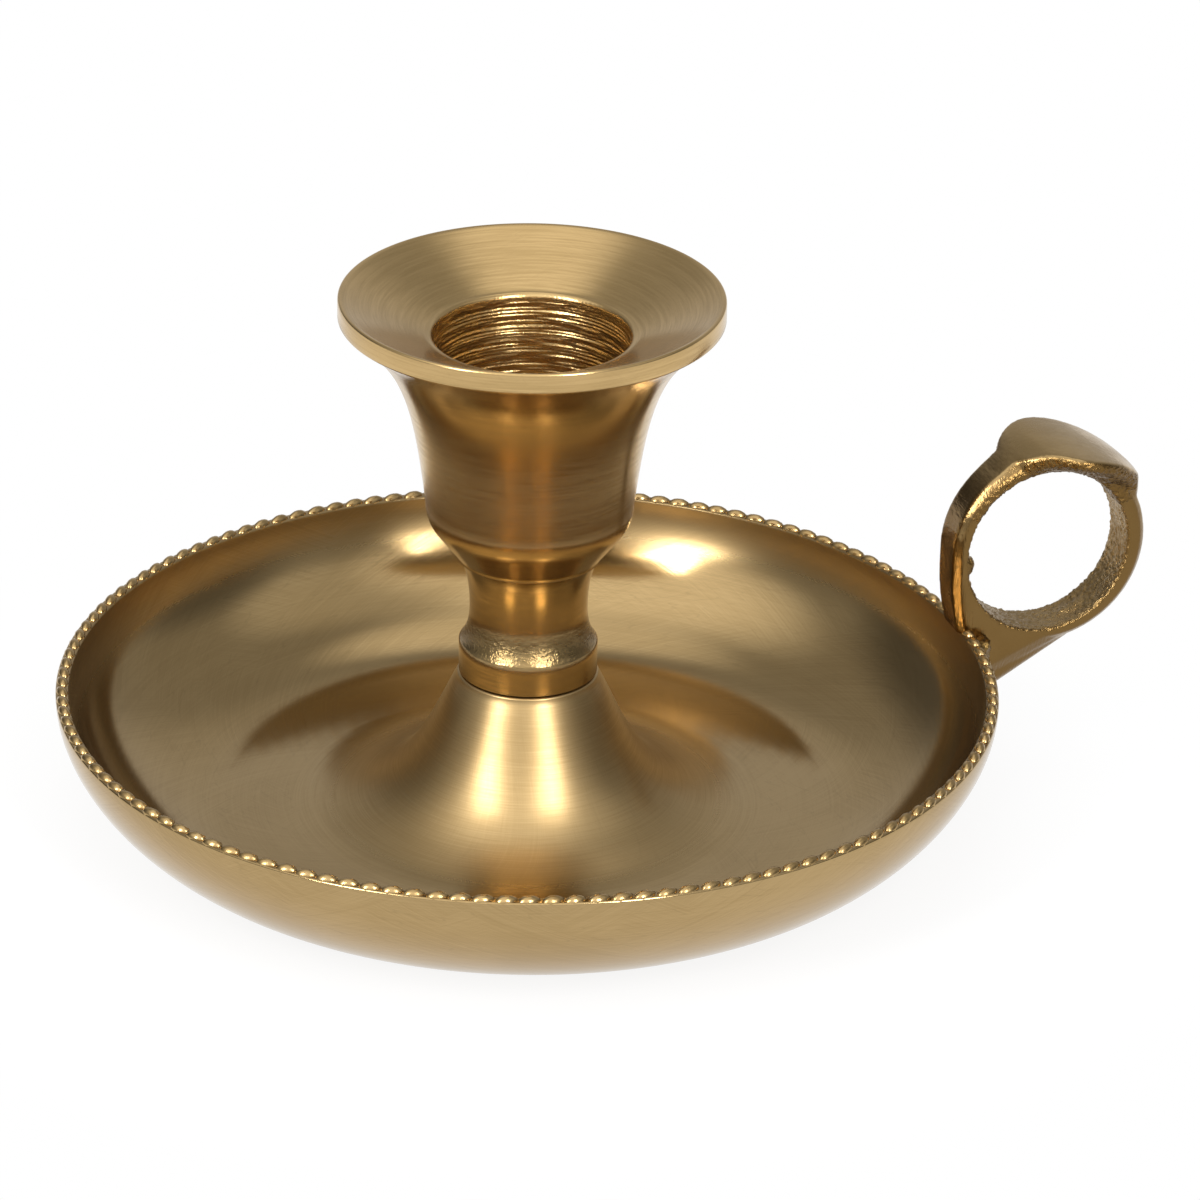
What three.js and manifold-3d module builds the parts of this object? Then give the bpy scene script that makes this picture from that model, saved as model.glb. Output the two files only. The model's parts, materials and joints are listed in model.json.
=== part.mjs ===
// A brass chamberstick: a saucer pan with a beaded rim, a candle cup clamped on the pan's cone,
// and a ring handle. Millimetres, +Z up, handle towards +X. The origin is on the candle's axis,
// in the plane that the pan stands on.

import * as THREE from 'three';
import { mergeGeometries, mergeVertices } from 'three/addons/utils/BufferGeometryUtils.js';
import Module from 'manifold-3d';

const wasm = await Module();
wasm.setup();

// Saucer pan: a bowl with a flat foot ring and a flared cone, hollow below, that carries the cup
const RIM_RADIUS = 57.5;
const RIM_HEIGHT = 17.5;
const RIM_LAND = 1.6;
const WALL_RIM_LEAD = 7.4;
const WALL_FOOT_LEAD = 10.1;
const FOOT_RADIUS = 38;
const FLOOR_THICKNESS = 1.8;
const FLOOR_INSET = 0.8;
const CONE_FOOT_RADIUS = 28.8;
const CONE_FOOT_LEAD = 14.1;
const CONE_WALL = 1.9;
const CROWN_LIP = 0.2;
const CROWN_HEIGHT = 19.6;
const CROWN_THICKNESS = 2.8;
const CROWN_EDGE = 0.35;
const CROWN_LEAD = 8.5;
const CROWN_SLOPE = THREE.MathUtils.degToRad(62.3);

// Beads along the rim's flat top
const BEAD_PITCH = 2.68;
const BEAD_SPACING = 0.7;
const BEAD_MARGIN = 0.05;
const BEAD_HEIGHT = 0.55;
const BEAD_SINK = 0.15;

// Candle cup: a stem that stands on the cone, and a socket with a dished flange;
// heights are above its own foot
const COLLAR_RADIUS = 8.45;
const COLLAR_HEIGHT = 3.8;
const NECK_RADIUS = 7.18;
const NECK_HEIGHT = 8.3;
const NECK_FILLET = 1.4;
const NECK_FLARE = 2.5;
const NECK_TOP_RADIUS = 8.5;
const NECK_TOP_HEIGHT = 15.1;
const STEP_WIDTH = 0.35;
const STEP_RISE = 0.4;
const SHOULDER_SLOPE = THREE.MathUtils.degToRad(52);
const SHOULDER_ROUND = 1.75;
const BARREL_WALL = 1.3;
const BARREL_LEAD = 12.7;
const BARREL_FLARE = 1.5;
const CANDLE_RADIUS = 11;
const CANDLE_CLEARANCE = 0.3;
const SOCKET_TAPER = 0.6;
const SOCKET_DEPTH = 23;
const SOCKET_FLOOR_RISE = 0.95;
const MOUTH_ROUND = 0.7;
const DISH_DEPTH = 4.6;
const FLANGE_WIDTH = 11.3;
const FLANGE_LEAD_IN = 7.7;
const FLANGE_LEAD_DOWN = 5;
const FLANGE_EDGE = 2.5;
const FLANGE_EDGE_ROUND = 0.35;

// Ring handle: finger ring, thumb rest on top, shank brazed to the pan's wall
const RING_BORE_RADIUS = 10.6;
const RING_BAND = 2.2;
const RING_LEAN = 0.3;
const RING_WIDTH = 6.2;
const RING_EDGE = 0.9;
const RING_OVERHANG = 3.3;
const RING_SINK = 2.9;
const SHANK_ROOT_DROP = 9.8;
const SHANK_ROOT_INSET = 4;
const SHANK_BITE = 6;
const SHANK_TOP_INSET = 1.8;
const ARM_FLARE = 0.1;
const ARM_FLARE_DROP = 3.5;
const KEEL_INSET = 0.6;
const KEEL_SETBACK = 2.2;
const KEEL_SHORT = 1.2;
const THUMB_RISE = 0.75;
const THUMB_FALL = 5.85;
const THUMB_SAG = 2.2;
const THUMB_EASE = 0.4;
const THUMB_DROOP = 0.75;
const THUMB_THICKNESS = 1.8;
const THUMB_TIP_DEPTH = 4.2;
const THUMB_TIP_INSET = 0.6;
const THUMB_WIDTH = 14.7;
const THUMB_TIP_WIDTH = 2;
const THUMB_NECK_WIDTH = 4;
const THUMB_BACK = 8.3;
const THUMB_WAIST = 3.2;
const THUMB_WIDEST = 1.6;
const THUMB_FRONT = 12.4;
const THUMB_SKEW = 0.5;
const BRAZE_LEG = 2.4;
const BRAZE_TOP_DROP = 0.3;

// Clamp under the crown: M6 stud, washers and nut
const STUD_RADIUS = 3;
const STUD_CHAMFER = 0.6;
const STUD_DEPTH_IN_CUP = 11.5;
const STUD_PROTRUSION = 2;
const WASHER_RADIUS = 5.5;
const WASHER_THICKNESS = 1.6;
const SPRING_WASHER_RADIUS = 4.95;
const SPRING_WASHER_THICKNESS = 1.6;
const SPRING_SLIT = 0.8;
const SPRING_SLIT_TILT = THREE.MathUtils.degToRad(25);
const NUT_ACROSS_FLATS = 10;
const NUT_HEIGHT = 5;
const NUT_CHAMFER = 0.45;

// Clearances
const SEAM_GAP = 0.3;
const BRAZE_GAP = 0.3;
const SEAT_GAP = 0.05;
const THREAD_CLEARANCE = 0.12;
const STUD_HOLE_CLEARANCE = 0.3;
const WASHER_CLEARANCE = 0.2;
const WASHER_ROOM = 0.6;
const TAP_RUNOUT = 1;

// Facets
const PAN_SIDES = 64;
const CUP_SIDES = 48;
const RING_SIDES = 44;
const SMALL_SIDES = 24;
const BEND_STEPS = 7;
const ROUND_STEPS = 3;
const BEAD_SIDES = 6;
const BEAD_RINGS = 4;
const CAP_STEPS = 4;
const NUT_SIDES = 6;

// Room that a cutting solid needs beyond what it cuts
const CUT_MARGIN = 2;

const ringRadius = RING_BORE_RADIUS + RING_BAND;
const ringX = RIM_RADIUS + ringRadius - RING_OVERHANG;
const ringZ = RIM_HEIGHT + ringRadius - RING_SINK;
const crownRadius = COLLAR_RADIUS + CROWN_LIP;
const crownUnderside = CROWN_HEIGHT - CROWN_THICKNESS;
const cupFoot = CROWN_HEIGHT + SEAM_GAP;
const washerTop = crownUnderside - SEAT_GAP;
const springTop = washerTop - WASHER_THICKNESS - SEAT_GAP;
const nutTop = springTop - SPRING_WASHER_THICKNESS - SEAT_GAP;
const studBottom = nutTop - NUT_HEIGHT - STUD_PROTRUSION;

const at = (x, y) => new THREE.Vector2(x, y);

// Points along a cubic curve from one point to another, drawn by two control points.
function bend(from, fromControl, toControl, to, steps = BEND_STEPS) {
  return new THREE.CubicBezierCurve(from, fromControl, toControl, to).getPoints(steps);
}

// Points round a corner, from one tangent point to the other.
function corner(from, apex, to) {
  return new THREE.QuadraticBezierCurve(from, apex, to).getPoints(ROUND_STEPS);
}

// A solid of revolution about Z. The profile holds (radius, height) and runs up its outer side.
function turned(profile, sides) {
  return solidOf(new THREE.LatheGeometry(profile, sides).rotateX(Math.PI / 2));
}

// A plate whose outline lies in the XZ plane, centred on it, with its width along Y.
function slab(outline, width) {
  const plate = new THREE.ExtrudeGeometry(new THREE.Shape(outline), { depth: width, bevelEnabled: false });
  return solidOf(plate.translate(0, 0, -width / 2).rotateX(Math.PI / 2));
}

// A closed geometry as a solid that can be joined and cut.
function solidOf(geometry) {
  geometry.deleteAttribute('normal');
  geometry.deleteAttribute('uv');
  const merged = mergeVertices(geometry);
  const corners = merged.index.array;
  const kept = [];
  for (let i = 0; i < corners.length; i += 3) {
    const [a, b, c] = corners.slice(i, i + 3);
    if (a !== b && b !== c && c !== a) kept.push(a, b, c);
  }
  const vertProperties = merged.getAttribute('position').array;
  return new wasm.Manifold(new wasm.Mesh({ numProp: 3, vertProperties, triVerts: new Uint32Array(kept) }));
}

// A named mesh of a solid, with its finish.
function piece(name, solid, finish) {
  const { vertProperties, triVerts } = solid.getMesh();
  const geometry = new THREE.BufferGeometry();
  geometry.setAttribute('position', new THREE.BufferAttribute(vertProperties, 3));
  geometry.setIndex(new THREE.BufferAttribute(triVerts, 1));
  geometry.computeVertexNormals();
  const mesh = new THREE.Mesh(geometry, new THREE.MeshStandardMaterial(finish));
  mesh.name = name;
  return mesh;
}

// The pan's outer wall from foot to rim, moved outwards by a gap.
function outerWall(gap) {
  return bend(
    at(FOOT_RADIUS + gap, -gap),
    at(FOOT_RADIUS + WALL_FOOT_LEAD + gap, -gap),
    at(RIM_RADIUS + gap, RIM_HEIGHT - WALL_RIM_LEAD),
    at(RIM_RADIUS + gap, RIM_HEIGHT),
  );
}

function innerWall() {
  const landRadius = RIM_RADIUS - RIM_LAND;
  const floorRadius = FOOT_RADIUS - FLOOR_INSET;
  return bend(
    at(landRadius, RIM_HEIGHT),
    at(landRadius, RIM_HEIGHT - WALL_RIM_LEAD),
    at(floorRadius + WALL_FOOT_LEAD, FLOOR_THICKNESS),
    at(floorRadius, FLOOR_THICKNESS),
  );
}

// The cone's flare from its foot up to its crown; the same curve, moved in, makes the hollow below.
function coneFlare(footRadius, footHeight, topRadius, topHeight) {
  const leadX = CROWN_LEAD * Math.cos(CROWN_SLOPE);
  const leadZ = CROWN_LEAD * Math.sin(CROWN_SLOPE);
  return bend(
    at(footRadius, footHeight),
    at(footRadius - CONE_FOOT_LEAD, footHeight),
    at(topRadius + leadX, topHeight - leadZ),
    at(topRadius, topHeight),
  );
}

// One row of beads, sunk a little into the rim's flat top.
function rimBeads() {
  const rowRadius = RIM_RADIUS - RIM_LAND / 2;
  const count = Math.round((2 * Math.PI * rowRadius) / BEAD_PITCH);
  const width = RIM_LAND - 2 * BEAD_MARGIN;
  const length = BEAD_PITCH - BEAD_SPACING;
  const beads = [];
  for (let i = 0; i < count; i += 1) {
    const bead = new THREE.SphereGeometry(1, BEAD_SIDES, BEAD_RINGS).rotateX(Math.PI / 2);
    bead.scale(width / 2, length / 2, BEAD_HEIGHT + BEAD_SINK);
    bead.translate(rowRadius, 0, RIM_HEIGHT - BEAD_SINK);
    beads.push(bead.rotateZ((2 * Math.PI * i) / count));
  }
  return solidOf(mergeGeometries(beads));
}

function saucerPan() {
  const boreRadius = STUD_RADIUS + STUD_HOLE_CLEARANCE;
  const edgeHeight = CROWN_HEIGHT - CROWN_EDGE;
  const edgeRadius = crownRadius - CROWN_EDGE;
  const hollowRadius = WASHER_RADIUS + WASHER_ROOM;
  const hollow = coneFlare(CONE_FOOT_RADIUS - CONE_WALL, 0, hollowRadius, crownUnderside);
  const profile = [
    ...outerWall(0),
    ...innerWall(),
    ...coneFlare(CONE_FOOT_RADIUS, FLOOR_THICKNESS, crownRadius, edgeHeight),
    ...corner(at(crownRadius, edgeHeight), at(crownRadius, CROWN_HEIGHT), at(edgeRadius, CROWN_HEIGHT)),
    at(boreRadius, CROWN_HEIGHT),
    at(boreRadius, crownUnderside),
    ...hollow.reverse(),
    at(FOOT_RADIUS, 0),
  ];
  return turned(profile, PAN_SIDES).add(rimBeads());
}

// What the pan and its beads take up, filled in, so that its neighbours can be cut clear of it.
function panEnvelope(gap) {
  const top = RIM_HEIGHT + BEAD_HEIGHT + gap;
  return turned([at(0, -gap), ...outerWall(gap), at(RIM_RADIUS + gap, top), at(0, top)], PAN_SIDES);
}

function candleCup() {
  const tapRadius = STUD_RADIUS + THREAD_CLEARANCE;
  const tapDepth = STUD_DEPTH_IN_CUP + TAP_RUNOUT;
  const stepRadius = NECK_TOP_RADIUS + STEP_WIDTH;
  const stepHeight = NECK_TOP_HEIGHT + STEP_RISE;
  const floorRadius = CANDLE_RADIUS + CANDLE_CLEARANCE;
  const socketRadius = floorRadius + SOCKET_TAPER;
  const barrelRadius = floorRadius + BARREL_WALL;
  const shoulderHeight = stepHeight + (barrelRadius - stepRadius) * Math.tan(SHOULDER_SLOPE);
  const shoulderX = SHOULDER_ROUND * Math.cos(SHOULDER_SLOPE);
  const shoulderZ = SHOULDER_ROUND * Math.sin(SHOULDER_SLOPE);
  const barrelFoot = shoulderHeight + SHOULDER_ROUND;
  const socketFloor = shoulderHeight + SOCKET_FLOOR_RISE;
  const mouthHeight = socketFloor + SOCKET_DEPTH;
  const height = mouthHeight + DISH_DEPTH;
  const flangeRadius = socketRadius + FLANGE_WIDTH;
  const flangeUnder = height - FLANGE_EDGE;
  const edgeHeight = height - FLANGE_EDGE_ROUND;
  const edgeRadius = flangeRadius - FLANGE_EDGE_ROUND;
  const profile = [
    at(0, tapDepth),
    at(tapRadius, tapDepth),
    at(tapRadius, 0),
    at(COLLAR_RADIUS, 0),
    ...corner(
      at(COLLAR_RADIUS, COLLAR_HEIGHT),
      at(NECK_RADIUS, COLLAR_HEIGHT + NECK_FILLET),
      at(NECK_RADIUS, NECK_HEIGHT),
    ),
    ...corner(
      at(NECK_RADIUS, NECK_HEIGHT),
      at(NECK_RADIUS, NECK_TOP_HEIGHT - NECK_FLARE),
      at(NECK_TOP_RADIUS, NECK_TOP_HEIGHT),
    ),
    at(stepRadius, NECK_TOP_HEIGHT),
    at(stepRadius, stepHeight),
    ...corner(
      at(barrelRadius - shoulderX, shoulderHeight - shoulderZ),
      at(barrelRadius, shoulderHeight),
      at(barrelRadius, barrelFoot),
    ),
    ...bend(
      at(barrelRadius, barrelFoot),
      at(barrelRadius + BARREL_FLARE, barrelFoot + BARREL_LEAD),
      at(flangeRadius - FLANGE_LEAD_IN, flangeUnder - FLANGE_LEAD_DOWN),
      at(flangeRadius, flangeUnder),
    ),
    ...corner(at(flangeRadius, edgeHeight), at(flangeRadius, height), at(edgeRadius, height)),
    ...corner(
      at(socketRadius + MOUTH_ROUND, mouthHeight),
      at(socketRadius, mouthHeight),
      at(socketRadius, mouthHeight - MOUTH_ROUND),
    ),
    at(floorRadius, socketFloor),
    at(0, socketFloor),
  ];
  return turned(profile, CUP_SIDES);
}

// The finger ring before it is bored, round an axis along Y, with its outer edges bevelled.
// It leans up and outwards off the bore's centre, so that its band is thicker there.
// A margin moves all its sides out.
function fingerRing(margin) {
  const half = RING_WIDTH / 2 + margin;
  const radius = ringRadius + margin;
  const section = [
    at(0, -half),
    at(radius - RING_EDGE, -half),
    at(radius, RING_EDGE - half),
    at(radius, half - RING_EDGE),
    at(radius - RING_EDGE, half),
    at(0, half),
  ];
  const disc = solidOf(new THREE.LatheGeometry(section, RING_SIDES));
  return disc.translate([ringX + RING_LEAN, 0, ringZ + RING_LEAN]);
}

// The shank's underside, from its foot at the pan's wall to where it is tangent to the ring.
function shankUnderside(margin) {
  const root = at(RIM_RADIUS - SHANK_ROOT_INSET, RIM_HEIGHT - SHANK_ROOT_DROP);
  const centre = at(ringX + RING_LEAN, ringZ + RING_LEAN);
  const toRoot = root.clone().sub(centre);
  const tangentAngle = toRoot.angle() + Math.acos(ringRadius / toRoot.length());
  const outward = at(Math.cos(tangentAngle), Math.sin(tangentAngle));
  const tangent = centre.clone().addScaledVector(outward, ringRadius + margin);
  const foot = root.addScaledVector(outward, margin);
  return { centre, foot, tangent };
}

// The wedge from the pan's wall to the ring. A margin moves its underside and its flanks out.
function shank(margin) {
  const { centre, foot, tangent } = shankUnderside(margin);
  const inside = at(foot.x - SHANK_BITE, foot.y);
  const overRim = at(RIM_RADIUS - SHANK_TOP_INSET, RIM_HEIGHT);
  const armTop = at(centre.x - ringRadius, centre.y);
  const armFoot = at(armTop.x - ARM_FLARE, armTop.y - ARM_FLARE_DROP);
  const outline = new THREE.Shape([inside, foot, tangent, centre, armTop, armFoot, overRim]);
  const wedge = new THREE.ExtrudeGeometry(outline, {
    depth: RING_WIDTH + 2 * (margin - RING_EDGE),
    bevelThickness: RING_EDGE,
    bevelSize: RING_EDGE,
    bevelOffset: -RING_EDGE,
    bevelSegments: 1,
  });
  return solidOf(wedge.translate(0, 0, RING_EDGE - RING_WIDTH / 2 - margin).rotateX(Math.PI / 2));
}

// The half-round that runs along the shank's underside.
function keel(margin) {
  const { foot, tangent } = shankUnderside(0);
  const along = tangent.clone().sub(foot);
  const length = along.length() - KEEL_SETBACK - KEEL_SHORT;
  const middle = along.clone().setLength(KEEL_SETBACK + length / 2).add(foot);
  const radius = RING_WIDTH / 2 - KEEL_INSET + margin;
  const round = new THREE.CapsuleGeometry(radius, length, CAP_STEPS, SMALL_SIDES);
  round.rotateX(Math.PI / 2).rotateY(Math.atan2(along.x, along.y));
  return solidOf(round.translate(middle.x, 0, middle.y));
}

// The thumb rest: a curved plate over the ring, cut to the shape of a leaf.
function thumbRest() {
  const neck = THUMB_NECK_WIDTH / 2;
  const half = THUMB_WIDTH / 2;
  const tip = THUMB_TIP_WIDTH / 2;
  const back = THUMB_BACK;
  const front = THUMB_FRONT;
  const taperStart = THUMB_WIDEST + (front - THUMB_WIDEST) / 3;
  const side = [
    ...bend(at(-back, neck), at(-THUMB_WAIST, neck), at(-THUMB_WAIST, half), at(THUMB_WIDEST, half)),
    ...bend(at(THUMB_WIDEST, half), at(taperStart, half), at(front, (half + tip) / 2), at(front, tip)),
  ];
  const mirrored = side.map((p) => at(p.x, -p.y)).reverse();
  const crown = ringRadius + RING_LEAN + THUMB_RISE;
  const sag = crown - THUMB_SAG;
  const under = crown - THUMB_THICKNESS;
  const underSag = sag - THUMB_THICKNESS;
  const backTop = Math.sqrt(ringRadius ** 2 - back ** 2);
  const tipTop = crown - THUMB_FALL;
  const tipFoot = at(front - THUMB_TIP_INSET, tipTop - THUMB_TIP_DEPTH);
  const easeX = front * THUMB_EASE;
  const droopX = front * THUMB_DROOP;
  const flank = [
    ...bend(at(-back, backTop), at(-back * THUMB_DROOP, sag), at(-back * THUMB_EASE, crown), at(0, crown)),
    ...bend(at(0, crown), at(easeX, crown), at(droopX, sag), at(front, tipTop)),
    ...bend(tipFoot, at(droopX, underSag), at(easeX, under), at(0, under)),
    at(-back, backTop - THUMB_THICKNESS / 2),
  ];
  const outline = new THREE.Shape([...mirrored, ...side]);
  const leaf = new THREE.ExtrudeGeometry(outline, { depth: crown + CUT_MARGIN, bevelEnabled: false });
  const rest = slab(flank, THUMB_WIDTH + CUT_MARGIN).intersect(solidOf(leaf));
  return rest.translate([ringX, THUMB_SKEW, ringZ]);
}

function ringHandle() {
  const length = Math.max(THUMB_WIDTH, RING_WIDTH) + 2 * THUMB_SKEW + CUT_MARGIN;
  const bore = new THREE.CylinderGeometry(RING_BORE_RADIUS, RING_BORE_RADIUS, length, RING_SIDES);
  return fingerRing(0)
    .add(shank(0))
    .add(keel(0))
    .add(thumbRest())
    .subtract(solidOf(bore).translate([ringX, 0, ringZ]))
    .subtract(panEnvelope(BRAZE_GAP));
}

// The fillet of filler that follows the pan's wall under the shank and up both its sides.
function handleBraze() {
  const top = RIM_HEIGHT - BRAZE_TOP_DROP;
  const low = RIM_HEIGHT - SHANK_ROOT_DROP - RING_WIDTH / 2 - BRAZE_LEG;
  const far = RIM_RADIUS + BRAZE_LEG;
  const near = RIM_RADIUS - SHANK_ROOT_INSET - SHANK_BITE;
  const width = RING_WIDTH + 2 * (BRAZE_GAP + BRAZE_LEG);
  const block = slab([at(near, low), at(far, low), at(far, top), at(near, top)], width);
  return block
    .intersect(panEnvelope(BRAZE_GAP + BRAZE_LEG))
    .subtract(panEnvelope(BRAZE_GAP))
    .subtract(shank(BRAZE_GAP))
    .subtract(keel(BRAZE_GAP))
    .subtract(fingerRing(BRAZE_GAP));
}

function cupStud() {
  const top = cupFoot + STUD_DEPTH_IN_CUP;
  const tipRadius = STUD_RADIUS - STUD_CHAMFER;
  const profile = [
    at(0, studBottom),
    at(tipRadius, studBottom),
    at(STUD_RADIUS, studBottom + STUD_CHAMFER),
    at(STUD_RADIUS, top - STUD_CHAMFER),
    at(tipRadius, top),
    at(0, top),
  ];
  return turned(profile, SMALL_SIDES);
}

// A flat ring round the stud that hangs down from Z = 0.
function washer(radius, thickness) {
  const boreRadius = STUD_RADIUS + WASHER_CLEARANCE;
  const profile = [
    at(boreRadius, -thickness),
    at(radius, -thickness),
    at(radius, 0),
    at(boreRadius, 0),
    at(boreRadius, -thickness),
  ];
  return turned(profile, SMALL_SIDES);
}

function springWasher() {
  const ring = washer(SPRING_WASHER_RADIUS, SPRING_WASHER_THICKNESS);
  const slitHeight = SPRING_WASHER_THICKNESS + CUT_MARGIN;
  const slit = new THREE.BoxGeometry(SPRING_WASHER_RADIUS, SPRING_SLIT, slitHeight);
  slit.rotateX(SPRING_SLIT_TILT).translate(SPRING_WASHER_RADIUS, 0, -SPRING_WASHER_THICKNESS / 2);
  return ring.subtract(solidOf(slit));
}

// A hexagon with chamfered corners, hanging down from Z = 0, bored to clear the stud.
function hexNut() {
  const cornerRadius = NUT_ACROSS_FLATS / Math.sqrt(3);
  const prism = new THREE.CylinderGeometry(cornerRadius, cornerRadius, NUT_HEIGHT, NUT_SIDES);
  prism.rotateX(Math.PI / 2);
  const chamferedRadius = NUT_ACROSS_FLATS / 2 - NUT_CHAMFER / 2;
  const chamfer = [
    at(0, -NUT_HEIGHT),
    at(chamferedRadius, -NUT_HEIGHT),
    at(cornerRadius, NUT_CHAMFER - NUT_HEIGHT),
    at(cornerRadius, -NUT_CHAMFER),
    at(chamferedRadius, 0),
    at(0, 0),
  ];
  const boreRadius = STUD_RADIUS + THREAD_CLEARANCE;
  const bore = new THREE.CylinderGeometry(boreRadius, boreRadius, NUT_HEIGHT + CUT_MARGIN, SMALL_SIDES);
  return solidOf(prism.translate(0, 0, -NUT_HEIGHT / 2))
    .intersect(turned(chamfer, SMALL_SIDES))
    .subtract(solidOf(bore.rotateX(Math.PI / 2).translate(0, 0, -NUT_HEIGHT / 2)));
}

const SATIN_BRASS = { color: 0x8f7440, roughness: 0.34, metalness: 1 };
const CAST_BRASS = { color: 0x9a7a3c, roughness: 0.5, metalness: 1 };
const BRAZE_FILLER = { color: 0xa88a4a, roughness: 0.62, metalness: 1 };
const ZINC_STEEL = { color: 0xb9bcc0, roughness: 0.42, metalness: 1 };

const chamberstick = new THREE.Group();
chamberstick.add(piece('saucer_pan', saucerPan(), SATIN_BRASS));
chamberstick.add(piece('ring_handle', ringHandle(), CAST_BRASS));
chamberstick.add(piece('handle_braze', handleBraze(), BRAZE_FILLER));

const cup = new THREE.Group();
cup.position.z = cupFoot;
cup.add(piece('candle_cup', candleCup(), SATIN_BRASS));
chamberstick.add(cup);

chamberstick.add(piece('cup_stud', cupStud(), ZINC_STEEL));

const flatWasher = piece('flat_washer', washer(WASHER_RADIUS, WASHER_THICKNESS), ZINC_STEEL);
flatWasher.position.z = washerTop;
const lockWasher = piece('spring_washer', springWasher(), ZINC_STEEL);
lockWasher.position.z = springTop;
const nut = piece('hex_nut', hexNut(), ZINC_STEEL);
nut.position.z = nutTop;
chamberstick.add(flatWasher, lockWasher, nut);

export default chamberstick;
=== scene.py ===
"""Looks of a brass chamberstick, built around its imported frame.

Sizes are in millimetres in the classes and become metres when a mesh is made. The frame's origin is
on the candle's axis, in the plane that the pan stands on, with the handle towards +X.
"""

import json
import logging
import math
from collections.abc import Callable
from dataclasses import dataclass, field
from enum import Enum
from typing import Union

import bmesh
import bpy
from mathutils import Matrix, Vector, noise
from mathutils.geometry import interpolate_bezier

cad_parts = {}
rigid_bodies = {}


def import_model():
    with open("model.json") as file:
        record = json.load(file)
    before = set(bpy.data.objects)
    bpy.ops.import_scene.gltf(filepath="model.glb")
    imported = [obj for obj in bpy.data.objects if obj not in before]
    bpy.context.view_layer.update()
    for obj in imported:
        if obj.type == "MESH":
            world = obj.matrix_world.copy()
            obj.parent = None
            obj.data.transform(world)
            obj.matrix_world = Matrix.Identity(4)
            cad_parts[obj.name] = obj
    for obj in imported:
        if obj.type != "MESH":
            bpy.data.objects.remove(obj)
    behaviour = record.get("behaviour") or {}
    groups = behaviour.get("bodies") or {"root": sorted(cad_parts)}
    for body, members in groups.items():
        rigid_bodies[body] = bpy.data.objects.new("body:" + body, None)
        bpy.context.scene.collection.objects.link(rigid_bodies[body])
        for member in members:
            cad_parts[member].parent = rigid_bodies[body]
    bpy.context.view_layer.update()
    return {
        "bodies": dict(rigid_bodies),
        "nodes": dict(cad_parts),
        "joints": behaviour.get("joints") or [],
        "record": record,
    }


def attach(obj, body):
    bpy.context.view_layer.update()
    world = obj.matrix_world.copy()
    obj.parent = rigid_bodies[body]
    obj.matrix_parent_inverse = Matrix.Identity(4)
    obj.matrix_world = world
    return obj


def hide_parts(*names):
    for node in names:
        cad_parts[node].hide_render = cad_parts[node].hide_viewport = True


LOG = logging.getLogger("chamberstick")
MM = 0.001
FULL_TURN = 2 * math.pi
MERGE_DISTANCE = 1e-4
ALL_SMOOTH = 180.0
NOISE_MIDDLE = 0.5
ORIGIN = Vector((0, 0, 0))
Y_AXIS = Vector((0, 1, 0))
Z_AXIS = Vector((0, 0, 1))
HANDLE_MASKS = ("sand", "shaded_flank", "recess_shade")

Colour = tuple[float, float, float]
Pair = tuple[float, float]
Piece = bpy.types.Object
Shell = bmesh.types.BMesh
Corner = bmesh.types.BMVert
Socket = bpy.types.NodeSocket
Value = Union[Socket, float]
Tint = Union[Socket, Colour]


class Slot(Enum):
    """The record's material slots."""

    SATIN_BRASS = "satin_brass"
    CAST_BRASS = "cast_brass"
    BRAZE_FILLER = "braze_filler"
    ZINC_STEEL = "zinc_steel"


class Body(Enum):
    """The bodies that pieces ride on."""

    PAN = "pan"
    CUP = "cup"
    NUT = "nut"


def ramp(value: float, start: float, end: float) -> float:
    """How far a number is on its way from a start to an end, from 0 to 1."""
    return min(1.0, max(0.0, (value - start) / (end - start)))


def upright(across: float, up: float) -> Vector:
    """A point in the XZ plane."""
    return Vector((across, 0, up))


class Outline:
    """A line of (across, up) points in millimetres that grows by straight runs and curves."""

    def __init__(self, across: float, up: float) -> None:
        """Starts the line at a distance from the axis and a height."""
        self.points: list[Vector] = [upright(across, up)]

    def to(self, across: float, up: float, steps: int = 1) -> "Outline":
        """Adds a straight run.

        Args:
            across: End's distance from the axis.
            up: End's height.
            steps: Number of equal parts.

        Returns:
            The line itself.
        """
        start, end = self.points[-1], upright(across, up)
        self.points += [start.lerp(end, i / steps) for i in range(1, steps + 1)]
        return self

    def bend(self, first: Pair, second: Pair, end: Pair, steps: int) -> "Outline":
        """Adds a cubic curve from the last point.

        Args:
            first: Control point of the start.
            second: Control point of the end.
            end: End point.
            steps: Number of parts.

        Returns:
            The line itself.
        """
        knots = [upright(*pair) for pair in (first, second, end)]
        self.points += interpolate_bezier(self.points[-1], *knots, steps + 1)[1:]
        return self

    def corner(self, apex: Pair, end: Pair, steps: int) -> "Outline":
        """Adds a round corner from the last point, drawn by its apex.

        Args:
            apex: Where the two sides would meet.
            end: End point on the far side.
            steps: Number of parts.

        Returns:
            The line itself.
        """
        tip = upright(*apex)
        pulls = [spot.lerp(tip, 2 / 3) for spot in (self.points[-1], upright(*end))]
        return self.bend(*((pull.x, pull.z) for pull in pulls), end, steps)

    def height_at(self, across: float) -> float:
        """Reads the line as a graph.

        Args:
            across: Place along the line, which runs towards larger values.

        Returns:
            The height there.
        """
        for a, b in zip(self.points, self.points[1:]):
            if a.x <= across <= b.x and b.x > a.x:
                return a.z + (b.z - a.z) * (across - a.x) / (b.x - a.x)
        return self.points[0].z if across < self.points[0].x else self.points[-1].z


def close(shell: Shell) -> None:
    """Merges doubles and turns the faces outwards."""
    bmesh.ops.remove_doubles(shell, verts=shell.verts, dist=MERGE_DISTANCE)
    bmesh.ops.recalc_face_normals(shell, faces=shell.faces)


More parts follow.
